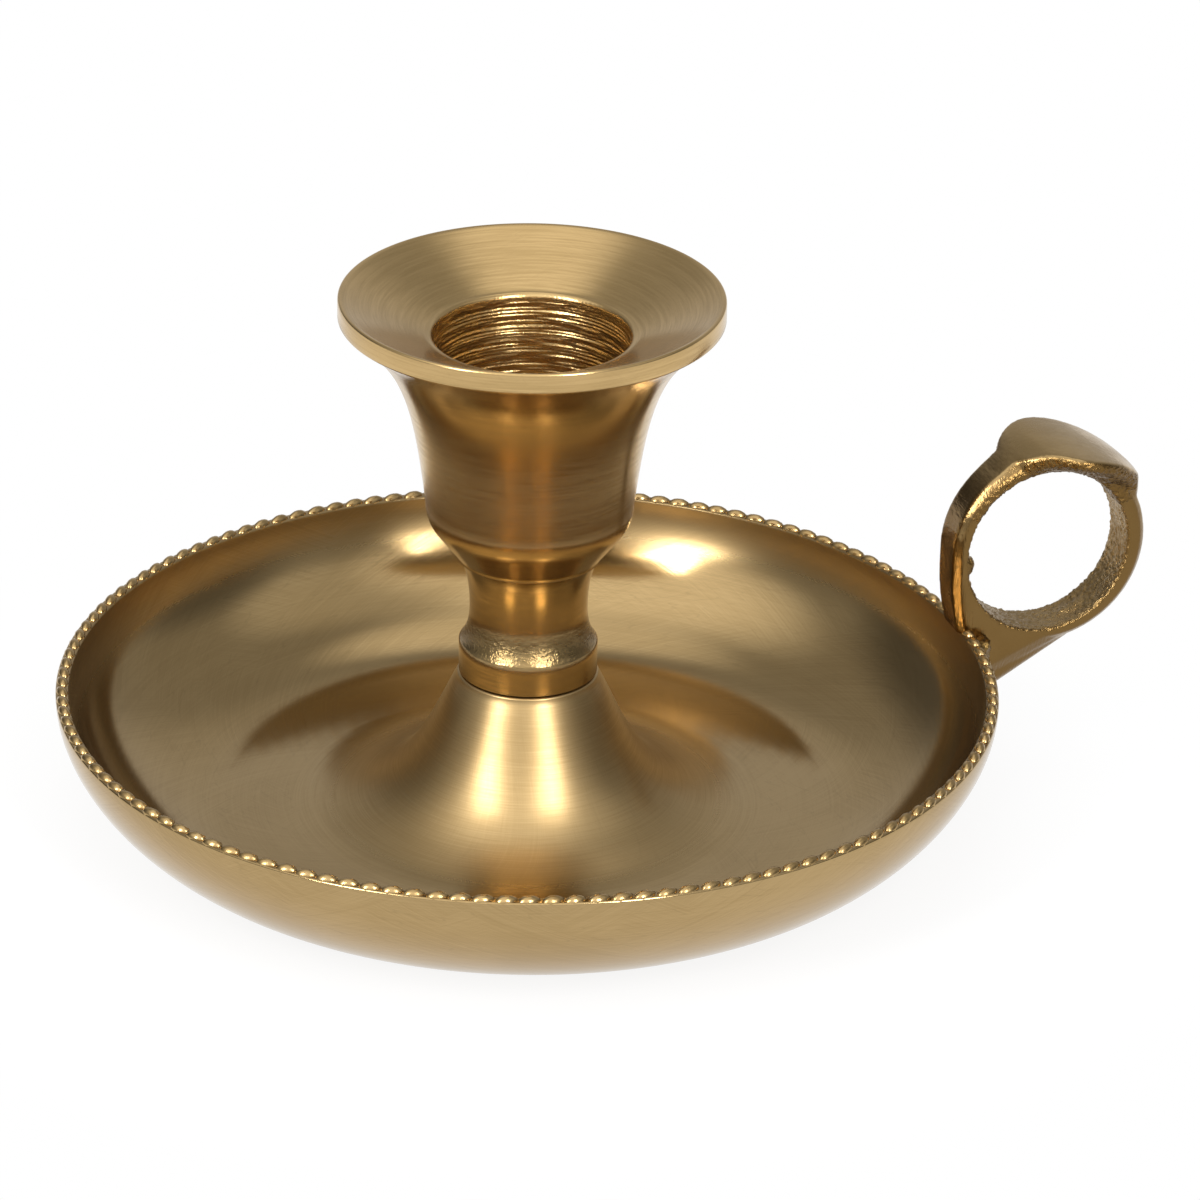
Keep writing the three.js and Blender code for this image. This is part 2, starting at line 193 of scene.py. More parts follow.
def turned(points: list[Vector], steps: int, closed: bool, axis: Vector = Z_AXIS,
           centre: Vector = ORIGIN) -> Shell:
    """Spins an outline round an axis.

    Args:
        points: The outline.
        steps: Number of sides.
        closed: Whether the outline's end joins its start.
        axis: Axis to spin round.
        centre: A point on the axis.

    Returns:
        The closed shell, with its normals outwards.
    """
    shell = bmesh.new()
    rows = [shell.verts.new(p) for p in points]
    pairs = list(zip(rows, rows[1:]))
    if closed:
        pairs.append((rows[-1], rows[0]))
    runs = [shell.edges.new(pair) for pair in pairs]
    bmesh.ops.spin(shell, geom=[*rows, *runs], cent=centre, axis=axis, angle=FULL_TURN, steps=steps,
                   use_merge=True)
    close(shell)
    return shell


def join(target: Shell, extra: Shell) -> None:
    """Adds one shell to another.

    Args:
        target: Shell that grows.
        extra: Shell to add; it is freed.
    """
    buffer = bpy.data.meshes.new("buffer")
    extra.to_mesh(buffer)
    target.from_mesh(buffer)
    bpy.data.meshes.remove(buffer)
    extra.free()


def fused(shell: Shell, voxel: float) -> Shell:
    """Fuses overlapping shells into one skin.

    Args:
        shell: Closed shells that overlap; it is freed.
        voxel: Size of the skin's squares, in mm.

    Returns:
        The fused skin.
    """
    rough = bpy.data.meshes.new("rough")
    shell.to_mesh(rough)
    shell.free()
    holder = bpy.data.objects.new("rough", rough)
    bpy.context.scene.collection.objects.link(holder)
    remesh = holder.modifiers.new("fuse", "REMESH")
    remesh.mode = "VOXEL"
    remesh.voxel_size = voxel
    skin = bmesh.new()
    skin.from_object(holder, bpy.context.evaluated_depsgraph_get())
    bpy.data.objects.remove(holder)
    bpy.data.meshes.remove(rough)
    return skin


def soften(shell: Shell, rounds: int) -> None:
    """Smooths every vertex half the way towards its neighbours, a number of times."""
    for _ in range(rounds):
        bmesh.ops.smooth_vert(shell, verts=shell.verts, factor=0.5, use_axis_x=True, use_axis_y=True,
                              use_axis_z=True)


def ruffle(shell: Shell, depth: Callable[[Corner], float], scale: float) -> None:
    """Moves vertices along their normals by a fixed noise.

    Args:
        shell: Skin to roughen.
        depth: Gives the most that a vertex may move, in mm.
        scale: Grains per millimetre.
    """
    fractal_step, octave_gap, octaves = 0.9, 2.1, 4
    shell.normal_update()
    moves = [
        v.normal * depth(v) * noise.fractal(v.co * scale, fractal_step, octave_gap, octaves)
        for v in shell.verts
    ]
    for vertex, move in zip(shell.verts, moves):
        vertex.co += move


def finished(name: str, shell: Shell, sharp_angle: float = 40.0) -> Piece:
    """Turns a shell into a smooth-shaded object in metres.

    Args:
        name: The piece's name.
        shell: Shell in millimetres; it is freed.
        sharp_angle: Edges bent by more than this many degrees stay crisp.

    Returns:
        The object, at the origin.
    """
    bmesh.ops.scale(shell, vec=Vector((MM, MM, MM)), verts=shell.verts)
    limit = math.radians(sharp_angle)
    for face in shell.faces:
        face.smooth = True
    for edge in shell.edges:
        edge.smooth = edge.is_manifold and edge.calc_face_angle(0) < limit
    mesh = bpy.data.meshes.new(name)
    shell.to_mesh(mesh)
    shell.free()
    piece = bpy.data.objects.new(name, mesh)
    bpy.context.scene.collection.objects.link(piece)
    return piece


def fit(piece: Piece, body: Body, slot: Slot, node: str | None, *finishes: bpy.types.Material) -> None:
    """Gives a piece its finishes and its place in the frame.

    Args:
        piece: What to fit.
        body: Body that it rides on.
        slot: The record's slot for it; not used.
        node: The frame's node that it replaces, if it is the first piece of one.
        finishes: Its materials, in the order of its faces' numbers.
    """
    for finish in finishes:
        piece.data.materials.append(finish)
    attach(piece, body.value)
    if node:
        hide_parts(node)


@dataclass(frozen=True)
class Grain:
    """A noise: its scale per metre, its octaves and the weight of the finer ones."""

    scale: float
    detail: float = 2.0
    rough: float = 0.6


class NodeBoard:
    """A node tree with short calls that add nodes and link them."""

    def __init__(self, tree: bpy.types.NodeTree) -> None:
        """Clears the tree."""
        self.tree = tree
        tree.nodes.clear()

    @classmethod
    def material(cls, name: str) -> tuple[bpy.types.Material, "NodeBoard"]:
        """Makes an empty node material.

        Args:
            name: The material's name.

        Returns:
            The material and its board.
        """
        material = bpy.data.materials.new(name)
        material.use_nodes = True
        return material, cls(material.node_tree)

    def add(self, kind: str, inputs: dict[str | int, object] | None = None,
            **settings: object) -> bpy.types.Node:
        """Adds one node.

        Args:
            kind: Node type.
            inputs: Values or sockets for its inputs, by name or number.
            settings: Values for its own properties.

        Returns:
            The node.
        """
        node = self.tree.nodes.new(kind)
        for key, value in settings.items():
            setattr(node, key, value)
        for key, value in (inputs or {}).items():
            if isinstance(value, Socket):
                self.tree.links.new(value, node.inputs[key])
            else:
                node.inputs[key].default_value = value
        return node

    def calc(self, operation: str, *values: Value, clamp: bool = False) -> Socket:
        """Adds a math node, whose result may be kept from 0 to 1."""
        node = self.add("ShaderNodeMath", dict(enumerate(values)), operation=operation, use_clamp=clamp)
        return node.outputs[0]

    def times(self, first: Value, second: Value) -> Socket:
        """Multiplies two numbers."""
        return self.calc("MULTIPLY", first, second)

    def plus(self, first: Value, second: Value, share: Value = 1.0) -> Socket:
        """Adds a share of the second number to the first."""
        return self.calc("MULTIPLY_ADD", second, share, first)

    def blend(self, share: Value, first: Value, second: Value) -> Socket:
        """Mixes a share of the second number into the first."""
        node = self.add("ShaderNodeMix", {"Factor": share, 2: first, 3: second}, data_type="FLOAT")
        return node.outputs[0]

    def vector(self, operation: str, inputs: dict[str | int, object], output: str = "Vector") -> Socket:
        """Adds a vector math node and gives one of its outputs."""
        return self.add("ShaderNodeVectorMath", inputs, operation=operation).outputs[output]

    def point(self) -> Socket:
        """The place in Object coordinates."""
        return self.add("ShaderNodeTexCoord").outputs["Object"]

    def attribute(self, name: str) -> Socket:
        """A number that the mesh's vertices carry."""
        return self.add("ShaderNodeAttribute", attribute_name=name).outputs["Fac"]

    def band(self, value: Socket, low: float, high: float, soft: float) -> Socket:
        """Masks a range of values, with soft ends.

        Args:
            value: Socket to test.
            low: Where the mask is half on.
            high: Where it is half off.
            soft: Width of each end.

        Returns:
            A socket from 0 to 1.
        """
        rise = self.ease(value, low - soft / 2, low + soft / 2)
        fall = self.ease(value, high + soft / 2, high - soft / 2)
        return self.times(rise, fall)

    def ease(self, value: Socket, start: float, end: float, low: float = 0.0, high: float = 1.0) -> Socket:
        """Maps a range smoothly to another.

        Args:
            value: Socket to map.
            start: Input that gives low.
            end: Input that gives high.
            low: First result.
            high: Last result.

        Returns:
            The mapped socket.
        """
        inputs = {"Value": value, "From Min": start, "From Max": end, "To Min": low, "To Max": high}
        node = self.add("ShaderNodeMapRange", inputs, interpolation_type="SMOOTHSTEP")
        return node.outputs["Result"]

    def mix(self, share: Value, first: Tint, second: Tint) -> Socket:
        """Mixes two colours.

        Args:
            share: Share of the second colour.
            first: Colour or socket.
            second: Colour or socket.

        Returns:
            The mixed colour's socket.
        """
        colours = [c if isinstance(c, Socket) else (*c, 1) for c in (first, second)]
        inputs = {"Factor": share, 6: colours[0], 7: colours[1]}
        return self.add("ShaderNodeMix", inputs, data_type="RGBA").outputs[2]

    def cloud(self, vector: Socket, grain: Grain, w: Value | None = None) -> Socket:
        """Adds a noise texture.

        Args:
            vector: Place socket.
            grain: The noise.
            w: Fourth coordinate, if any.

        Returns:
            Its value, about 0.5 on average.
        """
        inputs = {"Vector": vector, "Scale": grain.scale, "Detail": grain.detail, "Roughness": grain.rough}
        if w is not None:
            inputs["W"] = w
        size = "3D" if w is None else "4D"
        return self.add("ShaderNodeTexNoise", inputs, noise_dimensions=size).outputs["Fac"]

    def show(self, shader: bpy.types.Node, output: str = "ShaderNodeOutputMaterial") -> None:
        """Links a shader to the tree's output."""
        self.add(output, {"Surface": shader.outputs[0]})

    def metal(self, tint: Socket, roughness: Value, relief: Value, bump_strength: float = 1.0,
              extra: dict[str, object] | None = None) -> None:
        """Ends the tree with a metal.

        Args:
            tint: Its colour.
            roughness: Its roughness.
            relief: Height of its surface, in mm.
            bump_strength: How much of the relief shows.
            extra: More inputs of the shader.
        """
        bump = self.add("ShaderNodeBump", {"Height": relief, "Strength": bump_strength, "Distance": MM})
        inputs = {"Base Color": tint, "Metallic": 1.0, "Roughness": roughness, "Normal": bump.outputs[0]}
        self.show(self.add("ShaderNodeBsdfPrincipled", inputs | (extra or {})))


class Place:
    """A point's place on a turned piece, read from Object coordinates."""

    streaks: Grain = Grain(1.0)
    stroke_change: float = 120.0

    def __init__(self, board: NodeBoard) -> None:
        """Adds the nodes that give height, radius and direction, in metres.

        Args:
            board: Tree that they go into.
        """
        self.board = board
        self.point = board.point()
        parts = board.add("ShaderNodeSeparateXYZ", {0: self.point}).outputs
        self.x, self.height = parts["X"], parts["Z"]
        flat = board.add("ShaderNodeCombineXYZ", {"X": self.x, "Y": parts["Y"]}).outputs[0]
        self.radius = board.vector("LENGTH", {0: flat}, "Value")
        self.direction = board.vector("NORMALIZE", {0: flat})

    def grooves(self, change: float, pitch: float, detail: float = 2.0) -> Socket:
        """Streaks that run round the axis.

        Args:
            change: How quickly a streak changes along its length.
            pitch: Distance between streaks, in mm.
            detail: Octaves of the streaks.

        Returns:
            The streaks' value, about 0.5 on average.
        """
        board, across = self.board, 1 / (pitch * MM)
        turn = board.add("ShaderNodeSeparateXYZ", {0: self.direction}).outputs
        vector = board.add("ShaderNodeCombineXYZ", {
            "X": board.times(turn["X"], change),
            "Y": board.times(turn["Y"], change),
            "Z": board.times(self.radius, across),
        }).outputs[0]
        return board.cloud(vector, Grain(1.0, detail), board.times(self.height, across))

    def strokes(self, count: float, twist: float) -> Socket:
        """Streaks that run outwards and wind round the axis.

        Args:
            count: Streaks in one radian.
            twist: Radians of winding in one metre.

        Returns:
            The streaks' value, about 0.5 on average.
        """
        board = self.board
        run = board.plus(self.radius, self.height)
        inputs = {"Vector": self.direction, "Angle": board.times(run, twist)}
        spun = board.add("ShaderNodeVectorRotate", inputs, rotation_type="Z_AXIS").outputs[0]
        sized = board.vector("SCALE", {0: spun, "Scale": count})
        lift = board.add("ShaderNodeCombineXYZ", {"Z": board.times(run, self.stroke_change)}).outputs[0]
        return board.cloud(board.vector("ADD", {0: sized, 1: lift}), self.streaks)


@dataclass(frozen=True)
class CastZone:
    """A part of a turned piece that was left as cast, in millimetres; shade is its share of painted shade.
    """

    low: float
    high: float
    reach: float
    reach_soft: float = 0.4
    soft: float = 1.0
    ridge_depth: float = 0.0
    shade: float = 0.0


@dataclass(frozen=True)
class TurnedBrass:
    """Brass that was turned and then brushed, with duller patches, a few parts left as cast, and painted
    shade in zones that ask for it and in a band under the pan's rim.

    Pitches, depths and reaches are in millimetres.
    """

    name: str
    bright: Colour = (0.435, 0.306, 0.145)
    dull: Colour = (0.365, 0.250, 0.112)
    # Dark colour of the hairline scratches, and of the painted shade in shaded cast zones and in the band
    # under the pan's rim.
    stain_and_shade: Colour = (0.22, 0.152, 0.070)
    roughness: float = 0.125
    roughness_spread: float = 0.03
    cast_roughness: float = 0.05
    anisotropy: float = 0.4
    quarter_turn: float = 0.25
    tone_span: Pair = (0.38, 0.62)
    patches: Grain = Grain(45.0, 3.0, 0.55)
    stroke_patches: Pair = (0.45, 0.55)
    line_pitch: float = 0.15
    line_change: float = 2.5
    line_depth: float = 0.004
    stroke_count: float = 190.0
    stroke_twist: float = 28.0
    stroke_share: float = 0.6
    brushed_share: float = 0.6
    hairline: float = 0.18
    hairline_count: float = 7.0
    hairline_twist: float = 45.0
    hairline_width: float = 0.008
    specks: Grain = Grain(2400.0)
    speck_depth: float = 0.05
    ridge_pitch: float = 0.4
    ridge_change: float = 9.0
    ridge_detail: float = 4.0
    haze: float = 0.0
    haze_span: Pair = (28.6, 21.0)
    # Painted shade: the band under the pan's rim is darkened towards the shade colour, more towards +X, for
    # its dark reflections.
    painted_shade_band: bool = False
    shade_band_reach: float = 55.0
    shade_band_span: Pair = (0.15, 0.9)
    shade_band_roughness: float = 0.24
    zones: tuple[CastZone, ...] = ()

    def make(self) -> bpy.types.Material:
        """Builds the node material.

        Returns:
            The material.
        """
        material, board = NodeBoard.material(self.name)
        spot = Place(board)
        patches = board.cloud(spot.point, self.patches)
        cast, ridges, shade = self._cast_mask(spot)
        lines = spot.grooves(self.line_change, self.line_pitch)
        brushed = board.blend(self.stroke_share, lines, self._strokes(spot, patches))
        tone = board.blend(self.brushed_share, patches, brushed)
        tint = board.mix(board.ease(tone, *self.tone_span), self.dull, self.bright)
        tint = board.mix(self._hairlines(spot), tint, self.stain_and_shade)
        # Painted shade in the cast zones that ask for it.
        tint = board.mix(shade, tint, self.stain_and_shade)
        spread = self.roughness_spread
        gloss = board.ease(tone, *self.tone_span, self.roughness + spread, self.roughness - spread)
        roughness = board.plus(gloss, cast, self.cast_roughness)
        if self.haze:
            start, end = self.haze_span
            roughness = board.plus(roughness, board.ease(spot.radius, start * MM, end * MM, 0.0, self.haze))
        # Painted shade: the vertex band under the pan's rim darkens towards the shade colour, most towards
        # +X, standing in for dark reflections; it is also rougher.
        if self.painted_shade_band:
            stain_and_shade, reach = board.attribute("stain_and_shade"), self.shade_band_reach * MM
            towards = board.ease(spot.x, -reach, reach, *self.shade_band_span)
            tint = board.mix(board.times(stain_and_shade, towards), tint, self.stain_and_shade)
            roughness = board.plus(roughness, stain_and_shade, self.shade_band_roughness)
        combed = board.times(board.times(brushed, self.line_depth), board.calc("SUBTRACT", 1.0, cast))
        pitted = board.times(board.cloud(spot.point, self.specks), board.times(cast, self.speck_depth))
        relief = board.plus(board.plus(combed, pitted), ridges)
        tangent = board.add("ShaderNodeTangent", direction_type="RADIAL", axis="Z").outputs[0]
        board.metal(tint, roughness, relief, extra={
            "Anisotropic": self.anisotropy, "Anisotropic Rotation": self.quarter_turn, "Tangent": tangent,
        })
        return material

    def _hairlines(self, spot: Place) -> Socket:
        """Thin dark scratches that wind outwards.

        Args:
            spot: Place on the piece.

        Returns:
            The scratches' share of stain.
        """
        board = spot.board
        wave = board.calc("SUBTRACT", spot.strokes(self.hairline_count, self.hairline_twist), NOISE_MIDDLE)
        return board.ease(board.calc("ABSOLUTE", wave), self.hairline_width, 0.0, 0.0, self.hairline)

    def _strokes(self, spot: Place, patches: Socket) -> Socket:
        """Two sets of slanting brush strokes, which the patches choose between."""
        ways = [spot.strokes(self.stroke_count, twist) for twist in (self.stroke_twist, -self.stroke_twist)]
        return spot.board.blend(spot.board.ease(patches, *self.stroke_patches), *ways)

    def _cast_mask(self, spot: Place) -> tuple[Value, Value, Value]:
        """Where the surface was left as cast, and what it looks like there.

        Args:
            spot: Place on the piece.

        Returns:
            A mask from 0 to 1, the height of the ridges in mm, and the share of painted shade.
        """
        board = spot.board
        mask = relief = shade = 0.0
        for zone in self.zones:
            level = board.band(spot.height, zone.low * MM, zone.high * MM, zone.soft * MM)
            edge = zone.reach_soft / 2
            inside = board.ease(spot.radius, (zone.reach + edge) * MM, (zone.reach - edge) * MM)
            here = board.times(level, inside)
            mask = board.calc("ADD", mask, here, clamp=True)
            # Each zone's share of painted shade.
            shade = board.plus(shade, here, zone.shade)
            if zone.ridge_depth:
                rows = spot.grooves(self.ridge_change, self.ridge_pitch, self.ridge_detail)
                relief = board.plus(relief, board.times(rows, here), zone.ridge_depth)
        return mask, relief, shade


@dataclass(frozen=True)
class GrainyMetal:
    """A patchy metal with a fine grain, such as a casting or a plated fastener; depths are in mm."""

    name: str
    bright: Colour = (0.46, 0.317, 0.143)
    dull: Colour = (0.38, 0.255, 0.108)
    roughness: float = 0.26
    rougher: float = 0.08
    smoother: float = 0.06
    patches: Grain = Grain(160.0, 4.0)
    tint_span: Pair = (0.35, 0.65)
    gloss_span: Pair = (0.3, 0.7)
    grain: Grain = Grain(1500.0, 3.0)
    grain_depth: float = 0.015
    bump_strength: float = 1.0

    def make(self) -> bpy.types.Material:
        """Builds the node material.

        Returns:
            The material.
        """
        material, board = NodeBoard.material(self.name)
        point = board.point()
        patches = board.cloud(point, self.patches)
        tint = board.mix(board.ease(patches, *self.tint_span), self.dull, self.bright)
        ends = (self.roughness + self.rougher, self.roughness - self.smoother)
        roughness = board.ease(patches, *self.gloss_span, *ends)
        relief = board.times(board.cloud(point, self.grain), self.grain_depth)
        board.metal(*self._worn_and_shaded(board, point, tint, roughness, relief), self.bump_strength)
        return material

    def _worn_and_shaded(self, board: NodeBoard, point: Socket, *look: Socket) -> tuple[Socket, ...]:
        """What wear and painted shade make of tint, roughness and relief: here they stay."""
        return look


@dataclass(frozen=True)
class RubbedShadedCasting(GrainyMetal):
    """A casting that is rough where sand was and filed on its flat sides, with painted shade on those
    sides, in the finger hole and under the leaf.
    """

    # Dark colour of the painted shade on the flat sides, in the finger hole and under the leaf.
    skin: Colour = (0.15, 0.085, 0.025)
    flank_shade_share: float = 0.9
    sand_roughness: float = 0.08
    pits: Grain = Grain(1900.0, 3.0, 0.65)
    pit_depth: float = 0.18
    file_stretch: tuple[float, float, float] = (3800.0, 400.0, 420.0)
    file_marks: Grain = Grain(1.0, 3.0)
    file_depth: float = 0.066

    def _worn_and_shaded(self, board: NodeBoard, point: Socket, *look: Socket) -> tuple[Socket, ...]:
        """Paints shade on the sides and in the sandy recesses, roughens the sand and files the flanks, by
        the mesh's own masks.

        Args:
            board: Node tree.
            point: Place on the piece.
            look: Tint, roughness and relief of the plain metal.

        Returns:
            The three of the worn and shaded one.
        """
        tint, roughness, relief = look
        sand, shaded_flank, recess_shade = (board.attribute(name) for name in HANDLE_MASKS)
        # Painted shade on the flat sides, standing in for their dark reflections, and in the finger hole
        # and under the leaf.
        tint = board.mix(board.times(shaded_flank, self.flank_shade_share), tint, self.skin)
        tint = board.mix(recess_shade, tint, self.skin)
        roughness = board.plus(roughness, sand, self.sand_roughness)
        relief = board.plus(relief, board.times(board.cloud(point, self.pits), sand), self.pit_depth)
        pulled = board.vector("MULTIPLY", {0: point, 1: self.file_stretch})
        marks = board.times(board.cloud(pulled, self.file_marks), shaded_flank)
        return tint, roughness, board.plus(relief, marks, self.file_depth)


@dataclass
class SaucerPan:
    """The drip pan with its cone, and the beads along its rim; a pull is a curve's control point."""

    rim_radius: float = 57.5
    rim_height: float = 17.5
    rim_land: float = 1.6
    rim_edge: float = 0.3
    rim_pull: float = 10.1
    foot_radius: float = 38.0
    foot_pull: float = 48.1
    foot_land: float = 1.0
    floor_thickness: float = 1.8
    floor_radius: float = 37.2
    floor_pull: float = 47.3
    cone_foot: float = 28.8
    cone_pull: float = 14.7
    cone_neck_pull: Pair = (12.6, 11.72)
    crown_radius: float = 8.65
    crown_height: float = 19.6
    crown_edge: float = 0.35
    bore_radius: float = 3.3
    hollow_radius: float = 6.1
    hollow_top: float = 16.8
    hollow_neck_pull: Pair = (10.05, 9.27)
    hollow_pull: float = 12.8
    hollow_foot: float = 26.9
    steps: int = 240
    least_upward: float = 0.05
    # Heights where the painted shade band under the rim starts and is full.
    shade_band_heights: Pair = (10.8, 13.8)
    bead_count: int = 133
    bead_length: float = 2.95
    bead_width: float = 1.49
    bead_height: float = 0.6
    bead_sink: float = 0.2
    bead_twist: float = 12.0
    bead_spread: tuple[float, float, float] = (0.06, 0.03, 0.08)
    bead_shift: float = 0.06
    bead_noise: Pair = (7.31, 2.7)
    bead_seed: int = 7

    def build(self) -> list[Piece]:
        """Makes the shell, then the beads."""
        return [self._shell(), self._beads()]

    def _shell(self) -> Piece:
        """Turns the pan from one closed outline.

        Returns:
            The pan.
        """
        rim, top, edge = self.rim_radius, self.rim_height, self.rim_edge
        floor, crown, nose = self.floor_thickness, self.crown_height, self.crown_edge
        land = rim - self.rim_land
        line = Outline(self.foot_radius, 0)
        line.bend((self.foot_pull, 0), (rim, self.rim_pull), (rim, top - edge), 36)
        line.corner((rim, top), (rim - edge, top), 5).to(land + edge, top, 2)
        line.corner((land, top), (land, top - edge), 5)
        line.bend((land, self.rim_pull), (self.floor_pull, floor), (self.floor_radius, floor), 36)
        line.to(self.cone_foot, floor, 4)
        line.bend((self.cone_pull, floor), self.cone_neck_pull, (self.crown_radius, crown - nose), 40)
        line.corner((self.crown_radius, crown), (self.crown_radius - nose, crown), 5)
        line.to(self.bore_radius, crown, 3).to(self.bore_radius, self.hollow_top, 3)
        line.to(self.hollow_radius, self.hollow_top, 3)
        line.bend(self.hollow_neck_pull, (self.hollow_pull, 0), (self.hollow_foot, 0), 24)
        line.to(self.foot_radius - self.foot_land, 0, 4)
        shell = turned(line.points, self.steps, True)
        self._mark(shell)
        return finished("pan_shell", shell)

    def _mark(self, shell: Shell) -> None:
        """Marks the cone's faces, and the band under the rim that gets painted shade and more roughness,
        the shade strongest towards the handle.

        Args:
            shell: The turned pan, in millimetres.
        """
        for face in shell.faces:
            on_cone = face.calc_center_median().xy.length < self.cone_foot
            face.material_index = int(on_cone and face.normal.z > self.least_upward)
        shell.normal_update()
        # The band's share of painted shade, on the inner wall between two heights.
        stain_and_shade = shell.verts.layers.float.new("stain_and_shade")
        for vertex in shell.verts:
            inward = vertex.normal.xy.dot(vertex.co.xy) < 0
            vertex[stain_and_shade] = ramp(vertex.co.z, *self.shade_band_heights) if inward else 0.0

    def _beads(self) -> Piece:
        """Sets a row of pearls on the rim, each a little different.

        Returns:
            The beads.
        """
        noise.seed_set(self.bead_seed)
        step, lane = self.bead_noise
        row = self.rim_radius - self.rim_land / 2
        stand = Matrix.Translation((row, 0, self.rim_height - self.bead_sink))
        lean = Matrix.Rotation(math.radians(self.bead_twist), 4, "Z")
        beads = bmesh.new()
        for i in range(self.bead_count):
            wobble = noise.noise_vector(Vector((i * step, lane, 0)))
            sway = [1 + share * move for share, move in zip(self.bead_spread, wobble)]
            length = self.bead_length * sway[0] / 2
            width = self.bead_width * sway[1] / 2
            height = self.bead_height * sway[2] + self.bead_sink
            angle = FULL_TURN * (i + self.bead_shift * wobble.y) / self.bead_count
            turn = Matrix.Rotation(angle, 4, "Z")
            size = Matrix.Diagonal((width, length, height, 1))
            made = bmesh.ops.create_uvsphere(beads, u_segments=10, v_segments=6, radius=1)
            bmesh.ops.transform(beads, matrix=turn @ stand @ lean @ size, verts=made["verts"])
        bmesh.ops.recalc_face_normals(beads, faces=beads.faces)
        return finished("rim_beads", beads, ALL_SMOOTH)

    def dress(self, pieces: list[Piece]) -> None:
        """Gives the pan and its beads their finishes and their place in the frame.

        Args:
            pieces: What build returned.
        """
        # The pan's inner wall under the rim gets painted shade.
        pan = TurnedBrass("pan_satin_brass", painted_shade_band=True)
        cone = TurnedBrass("cone_satin_brass", haze=0.23, anisotropy=0.2, stroke_share=0.3, hairline=0.08)
        pearl = GrainyMetal("bead_brass", roughness=0.24, grain_depth=0.024)
        shell, beads = pieces
        fit(shell, Body.PAN, Slot.SATIN_BRASS, "saucer_pan", pan.make(), cone.make())
        fit(beads, Body.PAN, Slot.SATIN_BRASS, None, pearl.make())


